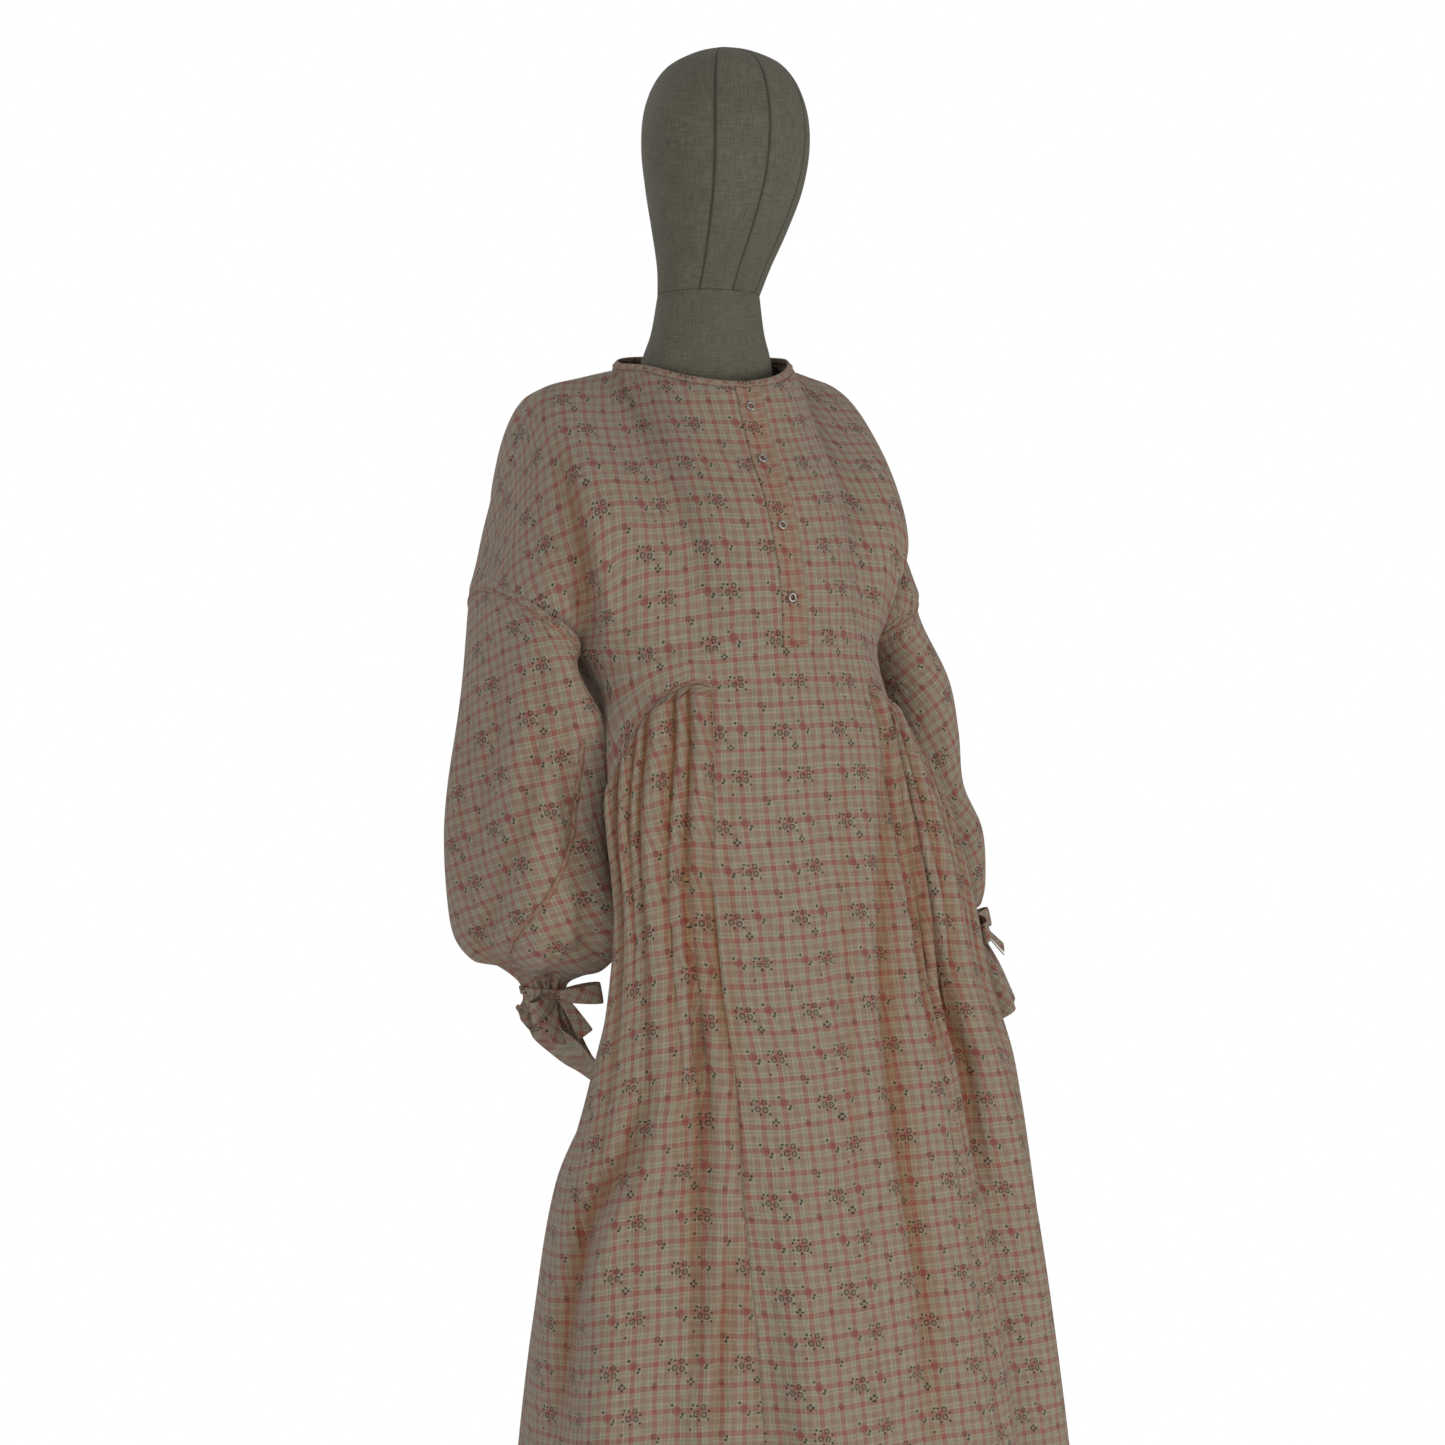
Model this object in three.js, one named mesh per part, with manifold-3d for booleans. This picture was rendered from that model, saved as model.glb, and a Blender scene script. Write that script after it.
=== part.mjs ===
// A long loose abaya with a snapped half-placket, gathered side panels under a curved bust seam and
// balloon sleeves tied at the wrists, worn by a plain dress form with a head, a pole and a round base.
// Millimetres, +Z up, the wearer faces -Y. The origin is the centre of the base's underside.
import * as THREE from 'three';
import { mergeVertices } from 'three/addons/utils/BufferGeometryUtils.js';
import Module from 'manifold-3d';

// Driving dimensions
const CLOTH = 1.3;            // thickness of the gauze wall
const SEAM = 0.3;             // gap between two pieces at a seam
const HEM_Z = 60;             // height of the hem above the floor
const SEAM_Z = 1117;          // height of the under-bust seam at the centre panel
const ARMPIT = { x: -158, y: -25, z: 1146 };   // wearer's right armpit
const LEFT_RISE = 16;         // how much higher the wearer's left shoulder and armpit lie
const CUFF_ROWS = 3;          // rows of the sleeve below its tie

// Columns across each zone of the body and rows down each zone
const COLUMNS = { side: 16, panel: 5, placket: 2, neckBack: 3 };
const ARMPIT_ROW = 10;        // rows from the shoulders down to the armpits
const BODICE_ROWS = [0, 0.12, 0.4, 0.7, 1];   // shares of the way from the armpits to the bust seam

// Half the shoulder line, wearer's right, from the neck point out and down to the top of the armhole
const SHOULDER_LINE = [
  { x: -82, y: 30, z: 1434 }, { x: -120, y: 31, z: 1424 }, { x: -160, y: 32, z: 1412 },
  { x: -180, y: 33, z: 1396 }, { x: -190, y: 33, z: 1352 }, { x: -200, y: 32, z: 1310 },
  { x: -211, y: 29, z: 1268 }, { x: -224, y: 25, z: 1226 },
];
// How far the wearer's left side stands further out than the right, by height
const LEFT_SHIFT = [
  { z: 1146, x: 12 }, { z: 1180, x: 4 }, { z: 1226, x: -9 }, { z: 1310, x: -10 }, { z: 1396, x: 2 },
  { z: 1434, x: 14 },
];
// Half the neckline, from the centre front (or back) to the neck point
const NECK_FRONT = [
  { x: 2, y: -91, z: 1408 }, { x: -30, y: -84, z: 1409 }, { x: -58, y: -62, z: 1415 },
  { x: -76, y: -25, z: 1426 }, { x: -82, y: 30, z: 1434 },
];
const NECK_BACK = [
  { x: 5, y: 92, z: 1452 }, { x: -26, y: 88, z: 1450 }, { x: -54, y: 74, z: 1446 },
  { x: -74, y: 54, z: 1440 }, { x: -82, y: 30, z: 1434 },
];
// Armhole seam, wearer's right, from its top down to the armpit
const ARMHOLE_FRONT = [
  { x: -224, y: 25, z: 1226 }, { x: -229, y: -28, z: 1213 }, { x: -220, y: -57, z: 1199 },
  { x: -205, y: -70, z: 1186 }, { x: -188, y: -69, z: 1176 }, { x: -172, y: -57, z: 1164 }, ARMPIT,
];
const ARMHOLE_BACK = [
  { x: -224, y: 25, z: 1226 }, { x: -222, y: 68, z: 1220 }, { x: -212, y: 93, z: 1208 },
  { x: -196, y: 102, z: 1194 }, { x: -179, y: 92, z: 1178 }, { x: -165, y: 52, z: 1160 }, ARMPIT,
];
// Centre front and centre back from the neck to the armpit level
const CENTRE_FRONT = [
  { x: 2, y: -91, z: 1408 }, { x: 4, y: -112, z: 1350 }, { x: 9, y: -142, z: 1284 },
  { x: 15, y: -154, z: 1214 }, { x: 18, y: -157, z: 1150 },
];
const CENTRE_BACK = [
  { x: 5, y: 92, z: 1452 }, { x: 5, y: 112, z: 1380 }, { x: 6, y: 118, z: 1300 },
  { x: 7, y: 112, z: 1220 }, { x: 8, y: 102, z: 1154 },
];
// Sections of the body from the armpits down: the middle, the half width, the depth to the front and to
// the back, how far each resting sleeve presses the side in, and at which angle aside
const BODY_SECTIONS = [
  { z: 1150, x: 6, y: -25, half: 164, front: 132, back: 127, pressRight: 0, pressLeft: 0, aside: 98 },
  { z: 1110, x: 10, y: -42, half: 170, front: 117, back: 144, pressRight: 34, pressLeft: 26, aside: 104 },
  { z: 1070, x: 15, y: -66, half: 178, front: 99, back: 164, pressRight: 38, pressLeft: 30, aside: 110 },
  { z: 1005, x: 25, y: -92, half: 194, front: 78, back: 186, pressRight: 44, pressLeft: 36, aside: 114 },
  { z: 905, x: 45, y: -95, half: 210, front: 83, back: 195, pressRight: 57, pressLeft: 52, aside: 114 },
  { z: 820, x: 53, y: -88, half: 222, front: 100, back: 200, pressRight: 60, pressLeft: 12, aside: 118 },
  { z: 740, x: 65, y: -80, half: 242, front: 116, back: 204, pressRight: 68, pressLeft: 0, aside: 126 },
  { z: 640, x: 72, y: -70, half: 260, front: 138, back: 208, pressRight: 17, pressLeft: 0, aside: 124 },
  { z: 500, x: 82, y: -56, half: 275, front: 170, back: 218, pressRight: 0, pressLeft: 0, aside: 120 },
  { z: 300, x: 90, y: -42, half: 292, front: 208, back: 236, pressRight: 0, pressLeft: 0, aside: 120 },
  { z: 60, x: 90, y: -30, half: 308, front: 244, back: 256, pressRight: 0, pressLeft: 0, aside: 120 },
];
const PRESS_WIDTH = 30;       // half width of a pressed side, in degrees
// Seam lines down the body as angles from the front, in degrees: the side seams, the centre panel's seams
// and the placket's edges
const SEAM_ANGLES = [
  { z: 1150, right: -90, inRight: -26.5, openRight: -0.6, openLeft: 9.2, inLeft: 38, left: 90 },
  { z: 1117, right: -96, inRight: -26.5, openRight: -0.6, openLeft: 9.2, inLeft: 38, left: 96 },
  { z: 1005, right: -110, inRight: -30, openRight: -5, openLeft: 2, inLeft: 31, left: 108 },
  { z: 905, right: -114, inRight: -34, openRight: -6, openLeft: -1, inLeft: 27, left: 112 },
  { z: 700, right: -112, inRight: -30.5, openRight: -5, openLeft: -1, inLeft: 24, left: 112 },
  { z: 60, right: -108, inRight: -28, openRight: -4, openLeft: -1, inLeft: 24, left: 108 },
];
// Drop of the gathered seam below its inner end, by the share of the way round to the side seam
const SEAM_DROP = [
  { share: 0, drop: 0 }, { share: 0.1, drop: -3 }, { share: 0.2, drop: 5 }, { share: 0.3, drop: 18 },
  { share: 0.4, drop: 42 }, { share: 0.5, drop: 72 }, { share: 0.6, drop: 98 }, { share: 0.75, drop: 118 },
  { share: 1, drop: 132 },
];
const BACK_SEAM_RISE = 22;    // how much higher the back seam lies at its middle
// Rows of the skirt as the drop below the seam, in shares of the skirt's length
const SKIRT_ROWS = [0, 0.008, 0.026, 0.056, 0.1, 0.16, 0.235, 0.33, 0.44, 0.58, 0.76, 1];
// Gathers in turn: how far each pleat stands out and how far down it runs
const GATHERS = [
  { height: 4.5, run: 420 }, { height: 3.6, run: 200 }, { height: 4.6, run: 300 }, { height: 3.4, run: 150 },
  { height: 4.4, run: 240 }, { height: 3.6, run: 170 }, { height: 4.2, run: 260 }, { height: 3.2, run: 160 },
];
// Lift of the cloth over a pleat: the drop in which it rises, where it starts to fade, the common lift and
// its reach down, the share of a wave that lies low, and the share of a pleat that fades in at a zone's end
const GATHER = { rise: 14, fadeFrom: 30, lift: 4.5, reach: 220, low: 0.45, edge: 0.6 };
const PLEAT_AXIS_Y = -40;     // the pleats and folds stand out from this upright axis
const PLEATS = { front: COLUMNS.side / 2, back: COLUMNS.side + COLUMNS.neckBack };
// Large folds of the skirt: the angle at the seam and at the hem, where the fold starts and is full,
// its half width in degrees and its height (below zero for a trough)
const SKIRT_FOLDS = [
  { from: -27, to: -33, start: 1010, full: 600, width: 8, height: -9 },
  { from: -17, to: -20, start: 760, full: 420, width: 6, height: 7 },
  { from: -30, to: -22, start: 640, full: 360, width: 7, height: -14 },
  { from: 36, to: 40, start: 1000, full: 640, width: 6, height: -18 },
  { from: 47, to: 52, start: 960, full: 560, width: 8, height: 10 },
  { from: 6, to: 6, start: 700, full: 300, width: 10, height: -7 },
  { from: 18, to: 18, start: 620, full: 240, width: 8, height: 9 },
  { from: -62, to: -66, start: 800, full: 380, width: 9, height: 16 },
  { from: -46, to: -50, start: 820, full: 420, width: 7, height: -12 },
  { from: -88, to: -92, start: 560, full: 260, width: 12, height: -15 },
  { from: 74, to: 74, start: 820, full: 400, width: 9, height: -14 },
  { from: 92, to: 92, start: 640, full: 300, width: 10, height: 14 },
  { from: 128, to: 126, start: 840, full: 300, width: 11, height: -18 },
  { from: 150, to: 150, start: 880, full: 260, width: 11, height: 16 },
  { from: 172, to: 172, start: 860, full: 280, width: 10, height: -18 },
  { from: -166, to: -166, start: 880, full: 300, width: 10, height: 16 },
  { from: -144, to: -144, start: 820, full: 260, width: 11, height: -17 },
  { from: -120, to: -122, start: 600, full: 240, width: 10, height: 12 },
];
// How far the cloth rounds out over the shoulders
const SHOULDER_ROUND = { front: 20, back: 30, up: 9 };
// Soft creases of the bodice by share across from the centre and share down from the shoulder
const FOLD_PUSH = { out: 0.9, aside: 0.35, fadeIn: 0.12 };
const BODICE_FOLDS = [
  { across: 0.7, down: 0.22, toAcross: 0.86, toDown: 0.9, width: 0.07, height: -13 },
  { across: 0.6, down: 0.3, toAcross: 0.72, toDown: 0.95, width: 0.06, height: 5 },
  { across: 0.3, down: 0.55, toAcross: 0.36, toDown: 1, width: 0.06, height: -4 },
];
// Rings of the right sleeve from under the armhole to the cuff's end: the middle, half width, half depth,
// and how much the outer side stands higher than the inner, in degrees
const SLEEVE_RIGHT = [
  { x: -200, y: 20, z: 1152, half: 40, depth: 84, tilt: 36 },
  { x: -192, y: 20, z: 1104, half: 52, depth: 92, tilt: 27 },
  { x: -187, y: 20, z: 1050, half: 64, depth: 97, tilt: 22 },
  { x: -187, y: 20, z: 1000, half: 70, depth: 101, tilt: 19 },
  { x: -185, y: 20, z: 950, half: 74, depth: 105, tilt: 16 },
  { x: -178, y: 20, z: 900, half: 76, depth: 107, tilt: 10 },
  { x: -174, y: 20, z: 868, half: 72, depth: 99, tilt: 4 },
  { x: -172, y: 20, z: 846, half: 56, depth: 76, tilt: 4 },
  { x: -171, y: 20, z: 840, half: 38, depth: 46, tilt: 8 },
  { x: -166, y: 21, z: 828, half: 22, depth: 24, tilt: 4 },
  { x: -162, y: 23, z: 811, half: 21, depth: 23, tilt: 8 },
  { x: -158, y: 26, z: 797, half: 27, depth: 30, tilt: 20 },
  { x: -151, y: 30, z: 781, half: 40, depth: 38, tilt: 34 },
  { x: -141, y: 28, z: 763, half: 56, depth: 58, tilt: 43 },
];
const SLEEVE_LEFT = [
  { x: 214, y: 22, z: 1166, half: 40, depth: 80, tilt: 36 },
  { x: 236, y: 24, z: 1112, half: 50, depth: 84, tilt: 27 },
  { x: 240, y: 25, z: 1060, half: 57, depth: 88, tilt: 22 },
  { x: 240, y: 26, z: 1005, half: 62, depth: 92, tilt: 20 },
  { x: 254, y: 27, z: 958, half: 74, depth: 94, tilt: 16 },
  { x: 260, y: 28, z: 915, half: 72, depth: 90, tilt: 6 },
  { x: 272, y: 28, z: 893, half: 58, depth: 74, tilt: 4 },
  { x: 292, y: 28, z: 884, half: 38, depth: 47, tilt: 8 },
  { x: 309, y: 28, z: 879, half: 22, depth: 24, tilt: 14 },
  { x: 314, y: 28, z: 862, half: 21, depth: 23, tilt: 18 },
  { x: 322, y: 27, z: 842, half: 29, depth: 33, tilt: 22 },
  { x: 332, y: 26, z: 810, half: 38, depth: 42, tilt: 26 },
  { x: 343, y: 25, z: 773, half: 44, depth: 50, tilt: 29 },
];
// Ruffles of the cuff and soft folds of the sleeve: waves round the ring, their height and phase, and the
// rings in which the folds rise
const CUFF_WAVES = { count: 4, height: 4, phase: 0.6 };
const HANG = { out: 30, ring: 0.8, rings: 1.7, turn: 2.44, spread: 0.75 };   // slack cloth under the right armpit
const SLEEVE_WAVES = { count: 5, height: 5, phase: 1.1, rings: 4 };
// Dress form: head and torso sections with the middle, half width, depth to the front and to the back
const HEAD_SECTIONS = [
  { z: 1508, x: 3, y: -6, half: 51, front: 51, back: 51 },
  { z: 1535, x: 4, y: -16, half: 56, front: 58, back: 60 },
  { z: 1570, x: 5, y: -26, half: 66, front: 72, back: 72 },
  { z: 1610, x: 6, y: -33, half: 76, front: 86, back: 84 },
  { z: 1655, x: 6, y: -36, half: 81, front: 92, back: 92 },
  { z: 1695, x: 6, y: -35, half: 76, front: 86, back: 88 },
  { z: 1727, x: 6, y: -34, half: 59, front: 66, back: 69 },
  { z: 1742, x: 6, y: -33, half: 34, front: 38, back: 40 },
  { z: 1750, x: 6, y: -33, half: 8, front: 8, back: 8 },
];
const NECK_SECTIONS = [
  { z: 1398, x: 3, y: 2, half: 68, front: 62, back: 68 },
  { z: 1430, x: 3, y: 0, half: 68, front: 64, back: 66 },
  { z: 1448, x: 3, y: -2, half: 64, front: 61, back: 62 },
  { z: 1470, x: 3, y: -4, half: 57, front: 56, back: 56 },
  { z: 1507.7, x: 3, y: -6, half: 51, front: 51, back: 51 },
];
const TORSO_SECTIONS = [
  { z: 860, x: 4, y: -8, half: 60, front: 54, back: 56 },
  { z: 876, x: 5, y: -10, half: 78, front: 76, back: 72 },
  { z: 930, x: 7, y: -14, half: 86, front: 84, back: 78 },
  { z: 1010, x: 8, y: -14, half: 92, front: 88, back: 80 },
  { z: 1090, x: 8, y: -12, half: 104, front: 102, back: 90 },
  { z: 1160, x: 8, y: -8, half: 124, front: 114, back: 98 },
  { z: 1230, x: 7, y: 0, half: 138, front: 108, back: 96 },
  { z: 1300, x: 6, y: 12, half: 142, front: 90, back: 82 },
  { z: 1350, x: 6, y: 20, half: 134, front: 70, back: 64 },
  { z: 1380, x: 5, y: 18, half: 108, front: 56, back: 52 },
  { z: 1397.7, x: 4, y: 10, half: 80, front: 50, back: 52 },
];
// Shoulder ridge of the form: its steps out along the seam, and its section below the ridge as y, z
const YOKE = {
  steps: 5, clearance: 0.45, underNeck: [-70, 76], low: { y: 24, z: 1394 },
  outline: [[0, 0], [-13, -15], [-22, -36], [-19, -70], [-2, -82], [13, -70], [15, -40], [7, -15]],
};
const POLE = { radius: 16, foot: 14, top: 859.7 };
const BASE = { radius: 170, height: 14, edge: 3, sides: 40 };
const FORM_SIDES = 24;
const SNAP_PLACES = [[0.85, 0.42], [2.98, 0.36], [5.62, 0.4], [8.24, 0.4]];    // rows down the placket, shares across
const SNAP = { outer: 4.7, inner: 2.6, height: 1.4, sides: 14, gap: 0.95 };
const PLACKET_HALF = 14;      // half the placket's width at the neckline
const BINDING = { width: 8, inward: 0.6, upward: 0.8, inside: -1.6, outside: 0.8 };
const TIE = { gap: 0.9, thick: 1.6, inset: 4.2 };
// The bow: a loop's reach, half height, the rise of its end and how far it sags, the width of the cloth and
// its thickness, the knot's radius and flatness, a tail's length, its start aside and how far it stands
// out, and how low on the band the knot sits
const BOW = {
  loop: 44, half: 8, rise: 7, sag: 7, foot: 2, steps: 8, wide: 22, cloth: 1.6, knot: 7, flat: 0.7,
  tail: 40, tailAside: 15, tailOut: 26, low: 0.7,
};
const BOW_PLACES = { right: 5, left: 2 };       // columns of the sleeves where the bows sit

const COLOURS = {
  cloth: 0xb09a88, binding: 0xa8907f, tie: 0xa99280, metal: 0xb9b7b0, linen: 0x7d7868, pole: 0x3a3a3a,
};

// Plain helpers
const rad = (degrees) => degrees * Math.PI / 180;
const mix = (a, b, t) => a + (b - a) * t;
const clamp01 = (t) => Math.min(1, Math.max(0, t));
const ease = (t) => clamp01(t) * clamp01(t) * (3 - 2 * clamp01(t));
const bell = (distance) => Math.exp(-distance * distance);
const vec = (p) => new THREE.Vector3(p.x, p.y, p.z);

// Value of a named column of a table at a key, on a smooth curve through the rows
function column(table, key, name, at) {
  const up = table[table.length - 1][key] > table[0][key];
  const t = clamp01((at - table[0][key]) / (table[table.length - 1][key] - table[0][key]));
  const past = (row) => (up ? row[key] >= at : row[key] <= at);
  let i = table.findIndex(past);
  if (t === 0) return table[0][name];
  if (t === 1 || i < 0) return table[table.length - 1][name];
  i = Math.max(1, i);
  const slope = (k) => {
    if (k < 1 || k > table.length - 2) return null;
    return (table[k + 1][name] - table[k - 1][name]) / (table[k + 1][key] - table[k - 1][key]);
  };
  const a = table[i - 1];
  const b = table[i];
  const span = b[key] - a[key];
  const chord = (b[name] - a[name]) / span;
  const s = (at - a[key]) / span;
  const slopeA = slope(i - 1) ?? chord;
  const slopeB = slope(i) ?? chord;
  const h = s * s * (3 - 2 * s);
  return a[name] + (b[name] - a[name]) * h
    + span * (slopeA * s * (1 - s) * (1 - s) - slopeB * s * s * (1 - s));
}

// A point at an even share of the length of a smooth curve through a list of points
function curve(points) {
  const line = new THREE.CatmullRomCurve3(points.map(vec), false, 'centripetal');
  line.arcLengthDivisions = 80;
  return (share) => line.getPointAt(clamp01(share));
}

// The wearer's left side mirrors the right one, a little over and higher
function mirrored(points) {
  const middle = points[0].x;
  return points.map((p) => {
    const aside = clamp01(p.x / SHOULDER_LINE[0].x);
    const shift = column(LEFT_SHIFT, 'z', 'x', p.z);
    return { x: mix(2 * middle - p.x, shift - p.x, aside), y: p.y, z: p.z + LEFT_RISE * aside };
  });
}

// Half of the front or back above the armpits, as a patch between its four edges. Across runs from the
// centre line to the armhole, down from the neck and shoulder to the armpit level
function upperPatch(topEnds, armhole, centre, side, isFront) {
  const armCurve = curve(armhole);
  const centreCurve = curve(centre);
  const lowCorners = [vec(centre[centre.length - 1]), vec(armhole[armhole.length - 1])];
  const corner = [...topEnds, ...lowCorners];
  return (across, down, top, ringPoint) => {
    const point = top.clone().multiplyScalar(1 - down).addScaledVector(ringPoint, down)
      .addScaledVector(centreCurve(down), 1 - across).addScaledVector(armCurve(down), across)
      .addScaledVector(corner[0], -(1 - across) * (1 - down))
      .addScaledVector(corner[1], -across * (1 - down))
      .addScaledVector(corner[2], -(1 - across) * down)
      .addScaledVector(corner[3], -across * down);
    const outward = isFront ? -1 : 1;
    const round = Math.sin(Math.PI * across) ** 2 * Math.sin(Math.PI * Math.sqrt(down));
    point.y += outward * (isFront ? SHOULDER_ROUND.front : SHOULDER_ROUND.back) * round;
    point.z += SHOULDER_ROUND.up * round;
    for (const fold of BODICE_FOLDS) {
      const along = clamp01((down - fold.down) / (fold.toDown - fold.down));
      const aside = (across - mix(fold.across, fold.toAcross, along)) / fold.width;
      const run = fold.toDown - fold.down + 1.7 * FOLD_PUSH.fadeIn;
      const fade = Math.sin(Math.PI * clamp01((down - fold.down + FOLD_PUSH.fadeIn) / run));
      const push = fold.height * bell(aside) * fade;
      point.y += outward * push * FOLD_PUSH.out;
      point.x += side * push * FOLD_PUSH.aside;
    }
    return point;
  };
}

// Angle at a column of the body, by the seams' angles at a height
function angleAt(columnNumber, z) {
  const keys = ['right', 'inRight', 'openRight', 'openLeft', 'inLeft', 'left'];
  const counts = [COLUMNS.side, COLUMNS.panel, COLUMNS.placket, COLUMNS.panel, COLUMNS.side];
  let start = 0;
  for (let zone = 0; zone < counts.length; zone += 1) {
    if (columnNumber <= start + counts[zone]) {
      const share = (columnNumber - start) / counts[zone];
      const next = column(SEAM_ANGLES, 'z', keys[zone + 1], z);
      return mix(column(SEAM_ANGLES, 'z', keys[zone], z), next, share);
    }
    start += counts[zone];
  }
  const share = (columnNumber - start) / BACK_COLUMNS;
  const last = column(SEAM_ANGLES, 'z', 'right', z) + 360;
  return mix(column(SEAM_ANGLES, 'z', 'left', z), last, share);
}

const FRONT_COLUMNS = 2 * COLUMNS.side + 2 * COLUMNS.panel + COLUMNS.placket;
const BACK_COLUMNS = 2 * (COLUMNS.side + COLUMNS.neckBack);
const ALL_COLUMNS = FRONT_COLUMNS + BACK_COLUMNS;
const PANEL_START = COLUMNS.side;
const PANEL_END = FRONT_COLUMNS - COLUMNS.side;
const PLACKET_START = PANEL_START + COLUMNS.panel;
const PLACKET_END = PLACKET_START + COLUMNS.placket;
const CENTRE_COLUMN = PLACKET_START + COLUMNS.placket / 2;
const SEAM_ROW = ARMPIT_ROW + BODICE_ROWS.length - 1;
const HEM_ROW = SEAM_ROW + SKIRT_ROWS.length - 1;

// A point of the smooth body at an angle and a height
function bodyPoint(angle, z) {
  const at = (name) => column(BODY_SECTIONS, 'z', name, z);
  const turn = rad(angle);
  const wrapped = angle > 180 ? angle - 360 : angle;
  const depth = Math.cos(turn) > 0 ? at('front') : at('back');
  const press = at('pressRight') * bell((wrapped + at('aside')) / PRESS_WIDTH)
    + at('pressLeft') * bell((wrapped - at('aside')) / PRESS_WIDTH);
  const size = 1 - press / at('half');
  const x = at('x') + at('half') * Math.sin(turn) * size;
  return new THREE.Vector3(x, at('y') - depth * Math.cos(turn) * size, z);
}

// Height of the armpit level and of the gathered seam at a column
function armpitHeight(columnNumber) {
  const level = BODY_SECTIONS[0].z;
  const reach = bodyPoint(angleAt(columnNumber, level), level).x;
  return mix(ARMPIT.z, ARMPIT.z + LEFT_RISE, clamp01((reach - ARMPIT.x) / (2 * BODY_SECTIONS[0].half)));
}

function seamHeight(columnNumber) {
  if (columnNumber >= PANEL_START && columnNumber <= PANEL_END) return SEAM_Z;
  if (columnNumber < PANEL_START) {
    return SEAM_Z - column(SEAM_DROP, 'share', 'drop', (PANEL_START - columnNumber) / COLUMNS.side);
  }
  if (columnNumber <= FRONT_COLUMNS) {
    return SEAM_Z - column(SEAM_DROP, 'share', 'drop', (columnNumber - PANEL_END) / COLUMNS.side);
  }
  const share = (columnNumber - FRONT_COLUMNS) / BACK_COLUMNS;
  return SEAM_Z - SEAM_DROP[SEAM_DROP.length - 1].drop + BACK_SEAM_RISE * Math.sin(Math.PI * share);
}

// Height of the gathers at a column and a drop below the seam
function gatherHeight(columnNumber, drop) {
  let zone = null;
  if (columnNumber < PANEL_START) zone = [PLEATS.front, (PANEL_START - columnNumber) / COLUMNS.side];
  else if (columnNumber > PANEL_END && columnNumber < FRONT_COLUMNS) {
    zone = [PLEATS.front, (columnNumber - PANEL_END) / COLUMNS.side];
  } else if (columnNumber > FRONT_COLUMNS && columnNumber < ALL_COLUMNS) {
    zone = [PLEATS.back, (columnNumber - FRONT_COLUMNS) / BACK_COLUMNS];
  }
  if (!zone || drop <= 0) return 0;
  const [count, share] = zone;
  const pitch = 1 / count;
  const row = GATHERS[Math.floor(share / pitch) % GATHERS.length];
  const wave = 0.5 - 0.5 * Math.cos(2 * Math.PI * share / pitch);
  const edge = ease(share / (pitch * GATHER.edge)) * ease((1 - share) / (pitch * GATHER.edge));
  const growth = ease(drop / GATHER.rise);
  const fade = 1 - ease((drop - GATHER.fadeFrom) / row.run);
  const pleat = row.height * 2 * (wave - GATHER.low) * fade;
  return edge * growth * (pleat + GATHER.lift * (1 - ease(drop / GATHER.reach)));
}

function foldHeight(angle, z) {
  let sum = 0;
  for (const fold of SKIRT_FOLDS) {
    const along = clamp01((fold.start - z) / (fold.start - HEM_Z));
    let aside = angle - mix(fold.from, fold.to, along);
    if (aside > 180) aside -= 360;
    if (aside < -180) aside += 360;
    sum += fold.height * ease((fold.start - z) / (fold.start - fold.full)) * bell(aside / fold.width);
  }
  return sum;
}

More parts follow.
